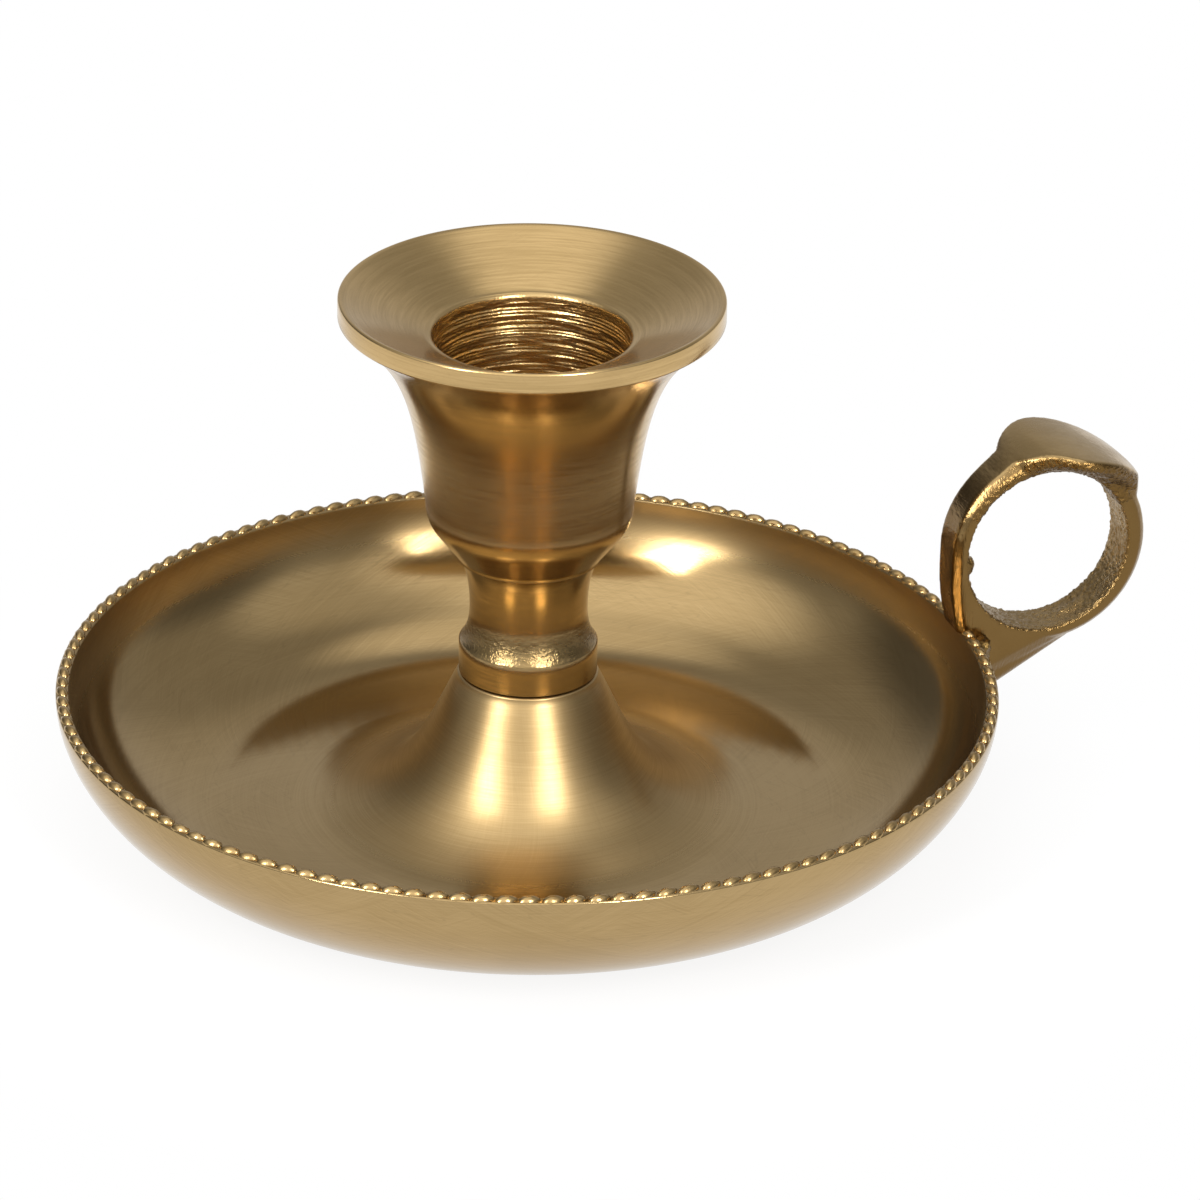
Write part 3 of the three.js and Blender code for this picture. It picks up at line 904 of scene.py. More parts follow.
@dataclass
class CandleCup:
    """The turned cup: stem, barrel, dished flange and candle socket, in heights above its foot."""

    foot: float = 19.9
    seat_drop: float = 0.2
    tap_radius: float = 3.12
    tap_depth: float = 12.5
    collar_radius: float = 8.45
    collar_height: float = 3.8
    collar_edge: float = 0.15
    neck_radius: float = 7.18
    neck_height: float = 8.3
    neck_fillet: float = 1.4
    neck_flare: float = 2.5
    neck_top_radius: float = 8.5
    neck_top: float = 15.1
    step_radius: float = 8.85
    step_top: float = 15.5
    step_edge: float = 0.1
    shoulder: float = 20.30
    shoulder_slope: float = 52.0
    shoulder_round: float = 1.75
    barrel_radius: float = 12.6
    barrel_foot: float = 22.05
    barrel_pull: Pair = (14.1, 12.7)
    flange_radius: float = 23.2
    flange_edge: float = 2.5
    flange_pull: Pair = (7.7, 5.0)
    flange_lip: Pair = (0.1, 0.05)
    edge_round: float = 0.35
    height: float = 48.85
    mouth: float = 44.25
    mouth_radius: float = 11.9
    mouth_round: float = 0.7
    socket_floor: float = 21.25
    socket_floor_radius: float = 11.3
    ridge_pitch: float = 0.46
    ridge_height: float = 0.055
    ridge_rows: int = 6
    ridge_lead: float = 1.2
    ridge_wander: float = 4.5
    wander_noise: Pair = (3.1, 0.9)
    swell_noise: Pair = (7.7, 0.8)
    swell: Pair = (0.5, 0.9)
    chatter: float = 1.8
    chatter_margins: Pair = (0.3, 0.4)
    chatter_reach: Pair = (0.5, 0.4)
    chatter_noise: tuple[float, float, float] = (0.3, 0.3, 2.1)
    steps: int = 224

    def build(self) -> list[Piece]:
        """Turns the cup from one outline that starts and ends on the axis.

        Returns:
            The cup alone.
        """
        line = Outline(0, self.foot + self.tap_depth)
        self._stem(line)
        self._barrel(line)
        self._bore(line)
        turning = turned(line.points, self.steps, False)
        for face in turning.faces:
            face.material_index = int(face.calc_center_median().z < self.foot + self.step_top)
        self._chatter(turning)
        return [finished("cup_turning", turning)]

    def _stem(self, line: Outline) -> None:
        """Adds the tapped hole, the collar and the neck.

        Args:
            line: Outline to go on with.
        """
        up, low = self.foot, self.foot - self.seat_drop
        collar, neck, edge = self.collar_radius, self.neck_radius, self.collar_edge
        line.to(self.tap_radius, up + self.tap_depth, 2).to(self.tap_radius, low, 4)
        line.to(collar - edge, low, 3).to(collar, low + edge).to(collar, up + self.collar_height, 4)
        fillet = up + self.collar_height + self.neck_fillet
        line.corner((neck, fillet), (neck, up + self.neck_height), 14)
        top = up + self.neck_top
        line.corner((neck, top - self.neck_flare), (self.neck_top_radius, top), 14)
        line.to(self.step_radius - self.step_edge, top).to(self.step_radius, top + self.step_edge)
        line.to(self.step_radius, up + self.step_top)

    def _barrel(self, line: Outline) -> None:
        """Adds the shoulder, the barrel, the flange and its dish down to the mouth's edge.

        Args:
            line: Outline to go on with.
        """
        up, barrel, flange = self.foot, self.barrel_radius, self.flange_radius
        slope, bend = math.radians(self.shoulder_slope), self.shoulder_round
        line.to(barrel - bend * math.cos(slope), up + self.shoulder - bend * math.sin(slope), 8)
        line.corner((barrel, up + self.shoulder), (barrel, up + self.barrel_foot), 10)
        top, mouth = up + self.height, up + self.mouth
        under = top - self.flange_edge
        start = (self.barrel_pull[0], up + self.barrel_foot + self.barrel_pull[1])
        end = (flange - self.flange_pull[0], under - self.flange_pull[1])
        lip, drop = self.flange_lip
        line.bend(start, end, (flange - lip, under - drop), 40).to(flange, under + lip)
        line.to(flange, top - self.edge_round, 3)
        line.corner((flange, top), (flange - self.edge_round, top), 6)
        line.to(self.mouth_radius + self.mouth_round, mouth, 20)
        line.corner((self.mouth_radius, mouth), (self.mouth_radius, mouth - self.mouth_round), 6)

    def _bore(self, line: Outline) -> None:
        """Adds the socket's wall, with the marks of a coarse cut, and its floor.

        Args:
            line: Outline to go on with.
        """
        top = line.points[-1]
        floor = self.foot + self.socket_floor
        rows = int((top.z - floor) / self.ridge_pitch) * self.ridge_rows
        for i in range(1, rows):
            share = i / rows
            depth = (top.z - floor) * share
            wander, swell = (noise.noise(Vector((lane, 0, depth * pace)))
                             for lane, pace in (self.wander_noise, self.swell_noise))
            wave = math.sin(FULL_TURN * depth / self.ridge_pitch + self.ridge_wander * wander)
            ridge = self.ridge_height * (self.swell[0] + self.swell[1] * swell) * wave
            wall = top.x + (self.socket_floor_radius - top.x) * share
            line.to(wall + ridge * min(1.0, depth / self.ridge_lead), top.z - depth)
        line.to(self.socket_floor_radius, floor).to(0, floor, 10)

    def _chatter(self, turning: Shell) -> None:
        """Makes the socket's ridges uneven round the wall.

        Args:
            turning: The turned cup, in millimetres.
        """
        low = self.foot + self.socket_floor + self.chatter_margins[0]
        high = self.foot + self.mouth - self.mouth_round - self.chatter_margins[1]
        least = self.socket_floor_radius - self.chatter_reach[0]
        most = self.mouth_radius + self.chatter_reach[1]
        pace = Vector(self.chatter_noise)
        for vertex in turning.verts:
            reach = vertex.co.xy.length
            if low < vertex.co.z < high and least < reach < most:
                grown = 1 + self.ridge_height * self.chatter * noise.noise(vertex.co * pace) / reach
                vertex.co.xy *= grown

    def dress(self, pieces: list[Piece]) -> None:
        """Gives the cup its finishes and its place in the frame.

        Args:
            pieces: What build returned.
        """
        socket = CastZone(40.0, 64.0, 12.1, ridge_depth=0.06)
        # The barrel's brass is a lighter copy of the pan's, painted light for brighter streaks.
        barrel = TurnedBrass("cup_satin_brass", (0.59, 0.409, 0.186), (0.48, 0.327, 0.141), roughness=0.21,
                             anisotropy=0.45, line_pitch=0.3, stroke_count=90.0, stroke_twist=60.0,
                             stroke_share=0.15, hairline=0.08, zones=(socket,))
        # Painted shade: the fillet between collar and neck darkens towards the stem's dark shade colour.
        fillet = CastZone(23.8, 26.9, 40.0, soft=1.6, shade=0.65)
        # The stem's brass is a darker copy of the barrel's, painted shade for its dark sides; its third
        # colour is the fillet's painted shade colour.
        stem = TurnedBrass("stem_satin_brass", (0.50, 0.347, 0.160), (0.38, 0.26, 0.114),
                           (0.12, 0.082, 0.034), roughness=0.2, line_pitch=0.3, stroke_share=0.1,
                           speck_depth=0.1, hairline=0.0, zones=(fillet,))
        fit(pieces[0], Body.CUP, Slot.SATIN_BRASS, "candle_cup", barrel.make(), stem.make())


@dataclass
class RingHandle:
    """The cast handle: finger ring, shank, keel and leaf-shaped thumb rest, with its fillet of filler."""

    filler: Piece
    pan: SaucerPan = field(default_factory=SaucerPan)
    bore_x: float = 67.0
    bore_z: float = 27.4
    bore_radius: float = 10.6
    bore_edge: float = 0.3
    bore_band: float = 0.5
    disc_x: float = 67.3
    disc_z: float = 27.7
    disc_radius: float = 12.79
    half_width: float = 3.1
    edge: float = 0.9
    ring_steps: int = 240
    shank_foot: Pair = (53.5, 7.7)
    shank_overlap: float = 0.7
    shank_arc_steps: int = 16
    arm_foot: float = 55.5
    arm_pulls: tuple[Pair, Pair] = ((54.45, 25.0), (54.4, 21.6))
    underside_cuts: tuple[Pair, Pair] = ((2.2, 1.9), (1.3, 0.9))
    keel_radius: float = 2.5
    keel_end_radius: float = 1.5
    keel_start: float = 2.2
    keel_end: Pair = (1.2, 0.9)
    wall_gap: float = -0.8
    seat_height: float = 17.3
    seat_margin: float = 0.05
    nub_angle: float = 184.0
    nub_side: float = -2.3
    nub_radius: float = 0.95
    nub_shape: tuple[float, float, float] = (1.0, 0.8, 1.4)
    leaf_back: float = 9.6
    leaf_front: float = 12.4
    leaf_crown: float = 13.85
    leaf_camber: float = 0.3
    leaf_camber_run: float = 8.0
    leaf_lip: float = 1.25
    leaf_root: float = 4.4
    leaf_root_taper: float = 1.9
    leaf_root_span: Pair = (6.0, 12.0)
    leaf_wall: float = 0.3
    leaf_inset: float = 0.2
    leaf_least: float = 0.1
    leaf_curve: float = 1.4
    voxel: float = 0.2
    soften_rounds: int = 9
    grain_depth: float = 0.012
    sand_depth: float = 0.14
    grain_scale: float = 2.2
    sand_span: Pair = (0.55, 0.2)
    under_margin: float = 0.1
    under_height: float = 5.5
    under_span: Pair = (0.25, -0.05)
    flank_band: float = 0.8
    flank_span: Pair = (0.45, 0.8)
    # Painted shade in the sandy places: the height that splits it, and its shares above and below.
    recess_shade_height: float = 5.0
    recess_shade_shares: Pair = (0.85, 0.3)
    fillet_gap: float = 0.3
    fillet_leg: float = 2.4
    fillet_voxel: float = 0.25
    fillet_soften_rounds: int = 14
    fillet_swell: float = 0.06
    fillet_grain: Pair = (0.26, 1.5)
    fillet_upper: Pair = (8.0, 12.0)
    fillet_top: Pair = (12.0, 17.2)
    fillet_thinning: Pair = (0.55, 0.3)
    wall_sink: float = 0.7
    wall_sink_span: Pair = (1.0, 0.5)
    shank_sink: float = 0.8
    shank_sink_span: Pair = (0.8, 0.4)

    @property
    def bore(self) -> Vector:
        """Centre of the finger hole."""
        return upright(self.bore_x, self.bore_z)

    @property
    def disc(self) -> Vector:
        """Centre of the ring's outside."""
        return upright(self.disc_x, self.disc_z)

    def build(self) -> list[Piece]:
        """Makes the casting and its fillet.

        Returns:
            The casting first, then the fillet.
        """
        shell = self._ring()
        for extra in (self._shank(), self._keel(), self._thumb_rest(), self._nub()):
            join(shell, extra)
        skin = fused(shell, self.voxel)
        soften(skin, self.soften_rounds)
        ruffle(skin, lambda v: self.grain_depth + self.sand_depth * self._sand(v), self.grain_scale)
        self._mark(skin)
        return [finished("handle_casting", skin, ALL_SMOOTH), self._fillet()]

    def _mark(self, skin: Shell) -> None:
        """Marks the sandy places, the flat sides and the recesses that get painted shade, for the finish.

        Args:
            skin: The casting, in millimetres.
        """
        skin.normal_update()
        for name in HANDLE_MASKS:
            skin.verts.layers.float.new(name)
        sand, shaded_flank, recess_shade = (skin.verts.layers.float[name] for name in HANDLE_MASKS)
        upper, lower = self.recess_shade_shares
        for vertex in skin.verts:
            vertex[sand] = self._sand(vertex)
            # Painted shade in the sandy places, stronger under the leaf than low in the finger hole.
            vertex[recess_shade] = vertex[sand] * (upper if vertex.co.z > self.bore_z + self.recess_shade_height else lower)
            # The flat sides and the arm's outer face get painted shade and file marks.
            outside = self._reach(vertex) > self.bore_radius + self.flank_band
            facing = max(abs(vertex.normal.y), -vertex.normal.x if outside else 0.0)
            vertex[shaded_flank] = ramp(facing, *self.flank_span)

    def _reach(self, vertex: Corner) -> float:
        """A vertex's distance from the finger hole's axis."""
        return math.hypot(vertex.co.x - self.bore_x, vertex.co.z - self.bore_z)

    def _sand(self, vertex: Corner) -> float:
        """How rough the casting is at a vertex.

        Args:
            vertex: Where to look.

        Returns:
            A share from 0 to 1, full in the finger hole and under the leaf.
        """
        in_bore = ramp(self._reach(vertex) - self.bore_radius, *self.sand_span)
        beside = abs(vertex.co.y) > self.half_width - self.under_margin
        overhang = beside and vertex.co.z > self.bore_z + self.under_height
        return max(in_bore, ramp(vertex.normal.z, *self.under_span) if overhang else 0.0)

    def _tangent(self) -> tuple[Vector, Vector]:
        """The shank's underside.

        Returns:
            Its foot at the pan's wall, and where it touches the ring.
        """
        foot = upright(*self.shank_foot)
        away = foot - self.disc
        angle = math.atan2(away.z, away.x) + math.acos(self.disc_radius / away.length)
        return foot, self.disc + self.disc_radius * upright(math.cos(angle), math.sin(angle))

    def _ring(self) -> Shell:
        """Spins the band and sets its inside on the bore.

        Returns:
            The ring.
        """
        inner, outer, half, nick = self.bore_radius, self.disc_radius, self.half_width, self.bore_edge
        side = [(inner, half - nick), (inner + nick, half), (outer - self.edge, half),
                (outer, half - self.edge)]
        section = [(r, -y) for r, y in side] + side[::-1]
        corners = [self.disc + Vector((r, y, 0)) for r, y in section]
        ring = turned(corners, self.ring_steps, True, Y_AXIS, self.disc)
        for vertex in ring.verts:
            reach = upright(vertex.co.x - self.disc_x, vertex.co.z - self.disc_z)
            if reach.length < inner + self.bore_band:
                vertex.co = self.bore + reach + Vector((0, vertex.co.y, 0))
        return ring

    def _shank(self) -> Shell:
        """Extrudes the wedge between the pan's wall and the ring.

        Returns:
            The wedge.
        """
        foot, touch = self._tangent()
        half, edge, hair = self.half_width, self.edge, 0.01
        inside = self.bore_radius + self.shank_overlap
        start = math.atan2(touch.z - self.disc_z, touch.x - self.disc_x) % FULL_TURN
        steps = self.shank_arc_steps
        turns = [start + (math.pi - start) * i / steps for i in range(steps + 1)]
        arc = [self.disc + inside * upright(math.cos(a), math.sin(a)) for a in turns]
        arm = Outline(self.disc_x - self.disc_radius, self.disc_z)
        arm.bend(*self.arm_pulls, (self.arm_foot, self.seat_height), 10)
        outline = [foot, touch, *arc, *arm.points, *self._wall_line(foot.z)]
        wedge = bmesh.new()
        side = wedge.faces.new([wedge.verts.new((p.x, -half, p.z)) for p in outline])
        for run in (edge, 2 * (half - edge), edge):
            made = bmesh.ops.extrude_face_region(wedge, geom=[side])["geom"]
            if side.calc_center_median().y > -half + hair:
                bmesh.ops.delete(wedge, geom=[side], context="FACES_ONLY")
            side = next(g for g in made if isinstance(g, bmesh.types.BMFace))
            moved = [g for g in made if isinstance(g, Corner)]
            bmesh.ops.translate(wedge, vec=Vector((0, run, 0)), verts=moved)
        close(wedge)
        for vertex in wedge.verts:
            spot = upright(vertex.co.x, vertex.co.z)
            if abs(vertex.co.y) > half - hair and any((spot - p).length < hair for p in arm.points):
                vertex.co.x += edge
        self._round_underside(wedge, foot, touch)
        return wedge

    def _round_underside(self, wedge: Shell, foot: Vector, touch: Vector) -> None:
        """Cuts the wedge's two lower edges away.

        Args:
            wedge: The wedge.
            foot: Start of its underside.
            touch: End of its underside.
        """
        along = (touch - foot).normalized()
        down = upright(along.z, -along.x)
        for side in (-1, 1):
            for depth, tilt in self.underside_cuts:
                spot = foot + Vector((0, side * self.half_width, 0)) - down * depth
                facing = (down + Vector((0, side * tilt, 0))).normalized()
                parts = [*wedge.verts, *wedge.edges, *wedge.faces]
                cut = bmesh.ops.bisect_plane(wedge, geom=parts, plane_co=spot, plane_no=facing,
                                             clear_outer=True)
                rim = [g for g in cut["geom_cut"] if isinstance(g, bmesh.types.BMEdge)]
                bmesh.ops.edgeloop_fill(wedge, edges=rim)
        close(wedge)

    def _wall_line(self, low: float) -> list[Vector]:
        """The pan's outer wall, a gap away, from the rim down.

        Args:
            low: Height of the last point.

        Returns:
            Points from the rim's top to that height.
        """
        pan, gap = self.pan, self.wall_gap
        rim = pan.rim_radius + gap
        wall = Outline(pan.foot_radius + gap, -gap)
        wall.bend((pan.foot_pull + gap, -gap), (rim, pan.rim_pull), (rim, pan.rim_height), 24)
        line = [p for p in reversed(wall.points) if low < p.z < self.seat_height - self.seat_margin]
        return [upright(rim, self.seat_height), *line]

    def _keel(self) -> Shell:
        """Lays a tapering half-round along the shank's underside.

        Returns:
            The half-round.
        """
        foot, touch = self._tangent()
        along = (touch - foot).normalized()
        ahead, rise = self.keel_end
        start = foot + along * self.keel_start
        end = touch + along * ahead + upright(-along.z, along.x) * rise
        keel = bmesh.new()
        for spot, radius in ((start, self.keel_radius), (end, self.keel_end_radius)):
            bmesh.ops.create_uvsphere(keel, u_segments=32, v_segments=16, radius=radius,
                                      matrix=Matrix.Translation(spot))
        run = end - start
        turn = Z_AXIS.rotation_difference(run).to_matrix().to_4x4()
        bmesh.ops.create_cone(keel, cap_ends=True, segments=32, radius1=self.keel_radius,
                              radius2=self.keel_end_radius, depth=run.length,
                              matrix=Matrix.Translation((start + end) / 2) @ turn)
        return keel

    def _nub(self) -> Shell:
        """Sets a small lump of flash on the bore's wall.

        Returns:
            The lump.
        """
        angle = math.radians(self.nub_angle)
        spot = self.bore + self.bore_radius * upright(math.cos(angle), math.sin(angle))
        spot.y = self.nub_side
        lump = bmesh.new()
        bmesh.ops.create_uvsphere(lump, u_segments=16, v_segments=8, radius=self.nub_radius,
                                  matrix=Matrix.Translation(spot) @ Matrix.Diagonal((*self.nub_shape, 1)))
        return lump

    def _thumb_rest(self) -> Shell:
        """Bends a leaf-shaped plate over the ring, thin at its lip and rooted on the band.

        Returns:
            The plate.
        """
        back, front, crown = self.leaf_back, self.leaf_front, self.leaf_crown
        far = Outline(-back, 2.4).to(-5.2, 2.9, 4).bend((-4.7, 3.6), (-3.6, 7.35), (1.2, 7.35), 20)
        far.bend((4.2, 7.2), (8.0, 4.6), (9.8, 4.1), 14).bend((11.4, 3.6), (front, 2.2), (front, 0.3), 12)
        near = Outline(-back, 2.2).to(-4.6, 2.2, 4).bend((-2.6, 4.2), (0.2, 5.2), (1.6, 6.8), 14)
        near.bend((2.6, 7.7), (5.0, 7.7), (7.2, 6.6), 12).bend((9.6, 5.5), (front, 3.2), (front, 0.3), 14)
        top = Outline(-back, 8.1).bend((-7.4, 10.7), (-3.6, crown), (0, crown), 24)
        top.bend((5.0, crown), (9.6, 11.9), (front, 8.0), 24)
        leaf = bmesh.new()
        bmesh.ops.create_grid(leaf, x_segments=96, y_segments=40, size=1)
        bottom = bmesh.ops.extrude_face_region(leaf, geom=leaf.faces[:])["geom"]
        lower = {g for g in bottom if isinstance(g, Corner)}
        for vertex in leaf.verts:
            along = -back + (vertex.co.x + 1) / 2 * (front + back)
            left, right = -near.height_at(along), far.height_at(along)
            across = left + (right - left) * (vertex.co.y + 1) / 2
            rise = top.height_at(along)
            if vertex in lower:
                rise = self._leaf_under(along, abs(across), right if across > 0 else -left, rise)
            else:
                run_in = ramp(along, -back, self.leaf_camber_run - back)
                rise += self.leaf_camber * run_in * (1 - vertex.co.y ** 2)
            vertex.co = self.bore + Vector((along, across, rise))
        close(leaf)
        return leaf

    def _leaf_under(self, along: float, across: float, limit: float, rise: float) -> float:
        """Height of the leaf's underside above the bore's centre.

        Args:
            along: Place along the leaf.
            across: Distance from the ring's middle.
            limit: Half width of the leaf there.
            rise: Height of the leaf's top there.

        Returns:
            The height, at the lip's thickness by the edge and on the band in the middle.
        """
        lip = rise - self.leaf_lip
        wall = math.sqrt(max(0.0, (self.bore_radius + self.leaf_wall) ** 2 - along ** 2))
        depth = self.leaf_root - self.leaf_root_taper * ramp(along, *self.leaf_root_span)
        root = min(lip, max(wall, rise - depth))
        start = self.half_width - self.leaf_inset
        if across <= start or limit <= start + self.leaf_least:
            return root
        share = (across - start) / (limit - start)
        return root + (lip - root) * share ** self.leaf_curve

    def _fillet(self) -> Piece:
        """Shapes the frame's fillet until it meets its neighbours, and makes it grainy.

        Returns:
            The fillet.
        """
        bead = bmesh.new()
        bead.from_mesh(self.filler.data)
        bmesh.ops.scale(bead, vec=Vector((1 / MM,) * 3), verts=bead.verts)
        bmesh.ops.remove_doubles(bead, verts=bead.verts, dist=MERGE_DISTANCE)
        skin = fused(bead, self.fillet_voxel)
        self._hollow(skin)
        soften(skin, self.fillet_soften_rounds)
        skin.normal_update()
        for vertex in skin.verts:
            vertex.co += vertex.normal * self.fillet_swell
        depth, scale = self.fillet_grain
        ruffle(skin, lambda vertex: depth, scale)
        return finished("braze_fillet", skin, ALL_SMOOTH)

    def _hollow(self, skin: Shell) -> None:
        """Thins the filler towards its ends, and sinks its back into the pan's wall and the shank.

        Args:
            skin: The filler, in millimetres.
        """
        pan, half = self.pan, self.half_width
        wall = Outline(0, pan.foot_radius)
        wall.bend((0, pan.foot_pull), (pan.rim_pull, pan.rim_radius), (pan.rim_height, pan.rim_radius), 24)
        foot = half + self.fillet_gap
        side_thinning, top_thinning = self.fillet_thinning
        for vertex in skin.verts:
            across, height, reach = abs(vertex.co.y), vertex.co.z, vertex.co.xy.length
            away = reach - wall.height_at(height)
            upper = ramp(height, *self.fillet_upper)
            side = side_thinning * ramp(across, foot, foot + self.fillet_leg)
            top = top_thinning * ramp(height, *self.fillet_top)
            sink = self.wall_sink * upper * ramp(away, *self.wall_sink_span)
            vertex.co.xy *= 1 - (away * upper * max(side, top) + sink) / reach
            if across > half - self.fillet_gap:
                into = self.shank_sink * upper * ramp(across - half, *self.shank_sink_span)
                vertex.co.y -= math.copysign(into, vertex.co.y)

    def dress(self, pieces: list[Piece]) -> None:
        """Gives the casting and its fillet their finishes and their place in the frame.

        Args:
            pieces: What build returned.
        """
        # The casting's finish carries painted shade on its sides and in its recesses.
        rubbed = RubbedShadedCasting("handle_cast_brass", roughness=0.2, grain_depth=0.0045)
        filler = GrainyMetal("braze_filler", (0.22, 0.135, 0.044), (0.08, 0.047, 0.013), roughness=0.3,
                             grain=Grain(1700.0, 3.0), grain_depth=0.21)
        casting, fillet = pieces
        fit(casting, Body.PAN, Slot.CAST_BRASS, "ring_handle", rubbed.make())
        fit(fillet, Body.PAN, Slot.BRAZE_FILLER, "handle_braze", filler.make())


@dataclass
class CupClamp:
    """What draws the cup down on the cone: stud, two washers and nut, hidden in the cone's hollow."""

    stud_radius: float = 3.0
    stud_foot: float = 6.45
    stud_top: float = 31.4
    stud_lead: float = 0.6
    stud_core: float = 1.0
    stud_rows: int = 190
    stud_steps: int = 48
    thread_pitch: float = 1.0
    thread_depth: float = 0.5
    nut_flats: float = 10.0
    nut_foot: float = 8.45
    nut_top: float = 13.45
    nut_bore: float = 3.12
    nut_chamfer: float = 0.45
    nut_face_drop: float = 0.15
    nut_steps: int = 120
    washer_bore: float = 3.2
    washer_radius: float = 5.5
    washer_foot: float = 15.15
    washer_top: float = 16.75
    washer_steps: int = 72
    spring_radius: float = 4.95
    spring_foot: float = 13.5
    spring_top: float = 15.1
    spring_steps: int = 64
    slit_width: float = 0.8
    slit_angle: float = 25.0
    edge: float = 0.18
    washer_sharp_angle: float = 30.0
    thread_sharp_angle: float = 60.0
    nut_sharp_angle: float = 25.0

    def build(self) -> list[Piece]:
        """Makes the stud, then what travels with the nut."""
        return [self._stud(), self._washer(), self._spring(), self._nut()]

    def _stud(self) -> Piece:
        """Turns a rod and cuts its thread by a winding wave.

        Returns:
            The stud.
        """
        radius, low, high, lead = self.stud_radius, self.stud_foot, self.stud_top, self.stud_lead
        line = Outline(0, low).to(radius - lead, low, 2).to(radius, low + lead, 4)
        line.to(radius, high - lead, self.stud_rows).to(radius - lead, high, 4).to(0, high, 2)
        rod = turned(line.points, self.stud_steps, False)
        for vertex in rod.verts:
            reach = vertex.co.xy.length
            if low + lead / 2 < vertex.co.z < high - lead / 2 and reach > self.stud_core:
                turn = math.atan2(vertex.co.y, vertex.co.x) / FULL_TURN
                phase = (vertex.co.z / self.thread_pitch - turn) % 1.0
                cut = self.thread_depth * (1 - abs(2 * phase - 1))
                vertex.co.xy *= (reach - cut) / reach
        return finished("cup_stud_thread", rod, self.thread_sharp_angle)

    def _washer(self) -> Piece:
        """Turns the flat washer, with soft edges."""
        line = self._ring_section(self.washer_radius, self.washer_foot, self.washer_top)
        return finished("flat_washer_ring", turned(line, self.washer_steps, True), self.washer_sharp_angle)

    def _spring(self) -> Piece:
        """Turns the spring washer round to its slit and caps the two ends.

        Returns:
            The washer.
        """
        line = self._ring_section(self.spring_radius, self.spring_foot, self.spring_top)
        half = self.slit_width / (self.washer_bore + self.spring_radius)
        start = Matrix.Rotation(math.radians(self.slit_angle) + half, 3, "Z")
        ring = bmesh.new()
        section = ring.faces.new([ring.verts.new(start @ p) for p in line])
        bmesh.ops.spin(ring, geom=[section], cent=ORIGIN, axis=Z_AXIS, angle=FULL_TURN - 2 * half,
                       steps=self.spring_steps, use_merge=False)
        close(ring)
        return finished("spring_washer_ring", ring, self.washer_sharp_angle)

    def _ring_section(self, outer: float, low: float, high: float) -> list[Vector]:
        """A washer's section with soft edges.

        Args:
            outer: Outer radius.
            low: Height of its foot.
            high: Height of its top.

        Returns:
            The closed outline's points.
        """
        inner, edge = self.washer_bore, self.edge
        line = Outline(inner + edge, low).to(outer - edge, low).corner((outer, low), (outer, low + edge), 3)
        line.to(outer, high - edge).corner((outer, high), (outer - edge, high), 3)
        line.to(inner + edge, high).corner((inner, high), (inner, high - edge), 3)
        line.to(inner, low + edge).corner((inner, low), (inner + edge, low), 3)
        return line.points[:-1]

    def _nut(self) -> Piece:
        """Turns the nut's double cone and trims it to six flats.

        Returns:
            The nut.
        """
        flat, sixth = self.nut_flats / 2, FULL_TURN / 6
        corner, face = flat / math.cos(sixth / 2), flat - self.nut_face_drop
        bore, low, high, edge = self.nut_bore, self.nut_foot, self.nut_top, self.nut_chamfer
        line = Outline(bore, low + edge).to(bore + edge, low).to(face, low, 2).to(corner, low + edge, 6)
        line.to(corner, high - edge, 8).to(face, high, 6).to(bore + edge, high, 2).to(bore, high - edge)
        nut = turned(line.points, self.nut_steps, True)
        for vertex in nut.verts:
            turn = math.atan2(vertex.co.y, vertex.co.x) % sixth - sixth / 2
            vertex.co.xy *= min(1.0, flat / math.cos(turn) / vertex.co.xy.length)
        close(nut)
        return finished("hex_nut_trimmed", nut, self.nut_sharp_angle)

    def dress(self, pieces: list[Piece]) -> None:
        """Gives the fasteners their finish and their place in the frame.

        Args:
            pieces: What build returned.
        """
        zinc = GrainyMetal("fastener_zinc", (0.66, 0.67, 0.67), (0.50, 0.50, 0.47), 0.3, 0.1, 0.05,
                           Grain(420.0, 4.0), grain=Grain(5000.0, 2.0, 0.5), grain_depth=0.01,
                           bump_strength=0.4).make()
        nodes = ("cup_stud", "flat_washer", "spring_washer", "hex_nut")
        for piece, node in zip(pieces, nodes):
            fit(piece, Body.CUP if node == "cup_stud" else Body.NUT, Slot.ZINC_STEEL, node, zinc)


@dataclass(frozen=True)
class Panel:
    """A soft-edged patch of the studio's walls, in degrees round the object."""

    azimuth: float
    elevation: float
    core: float
    edge: float
    level: float


@dataclass(frozen=True)
class SoftBox:
    """A lamp that faces the object, in degrees round it, metres and watts."""

    name: str
    azimuth: float
    elevation: float
    width: float
    height: float
    power: float
    distance: float = 1.0


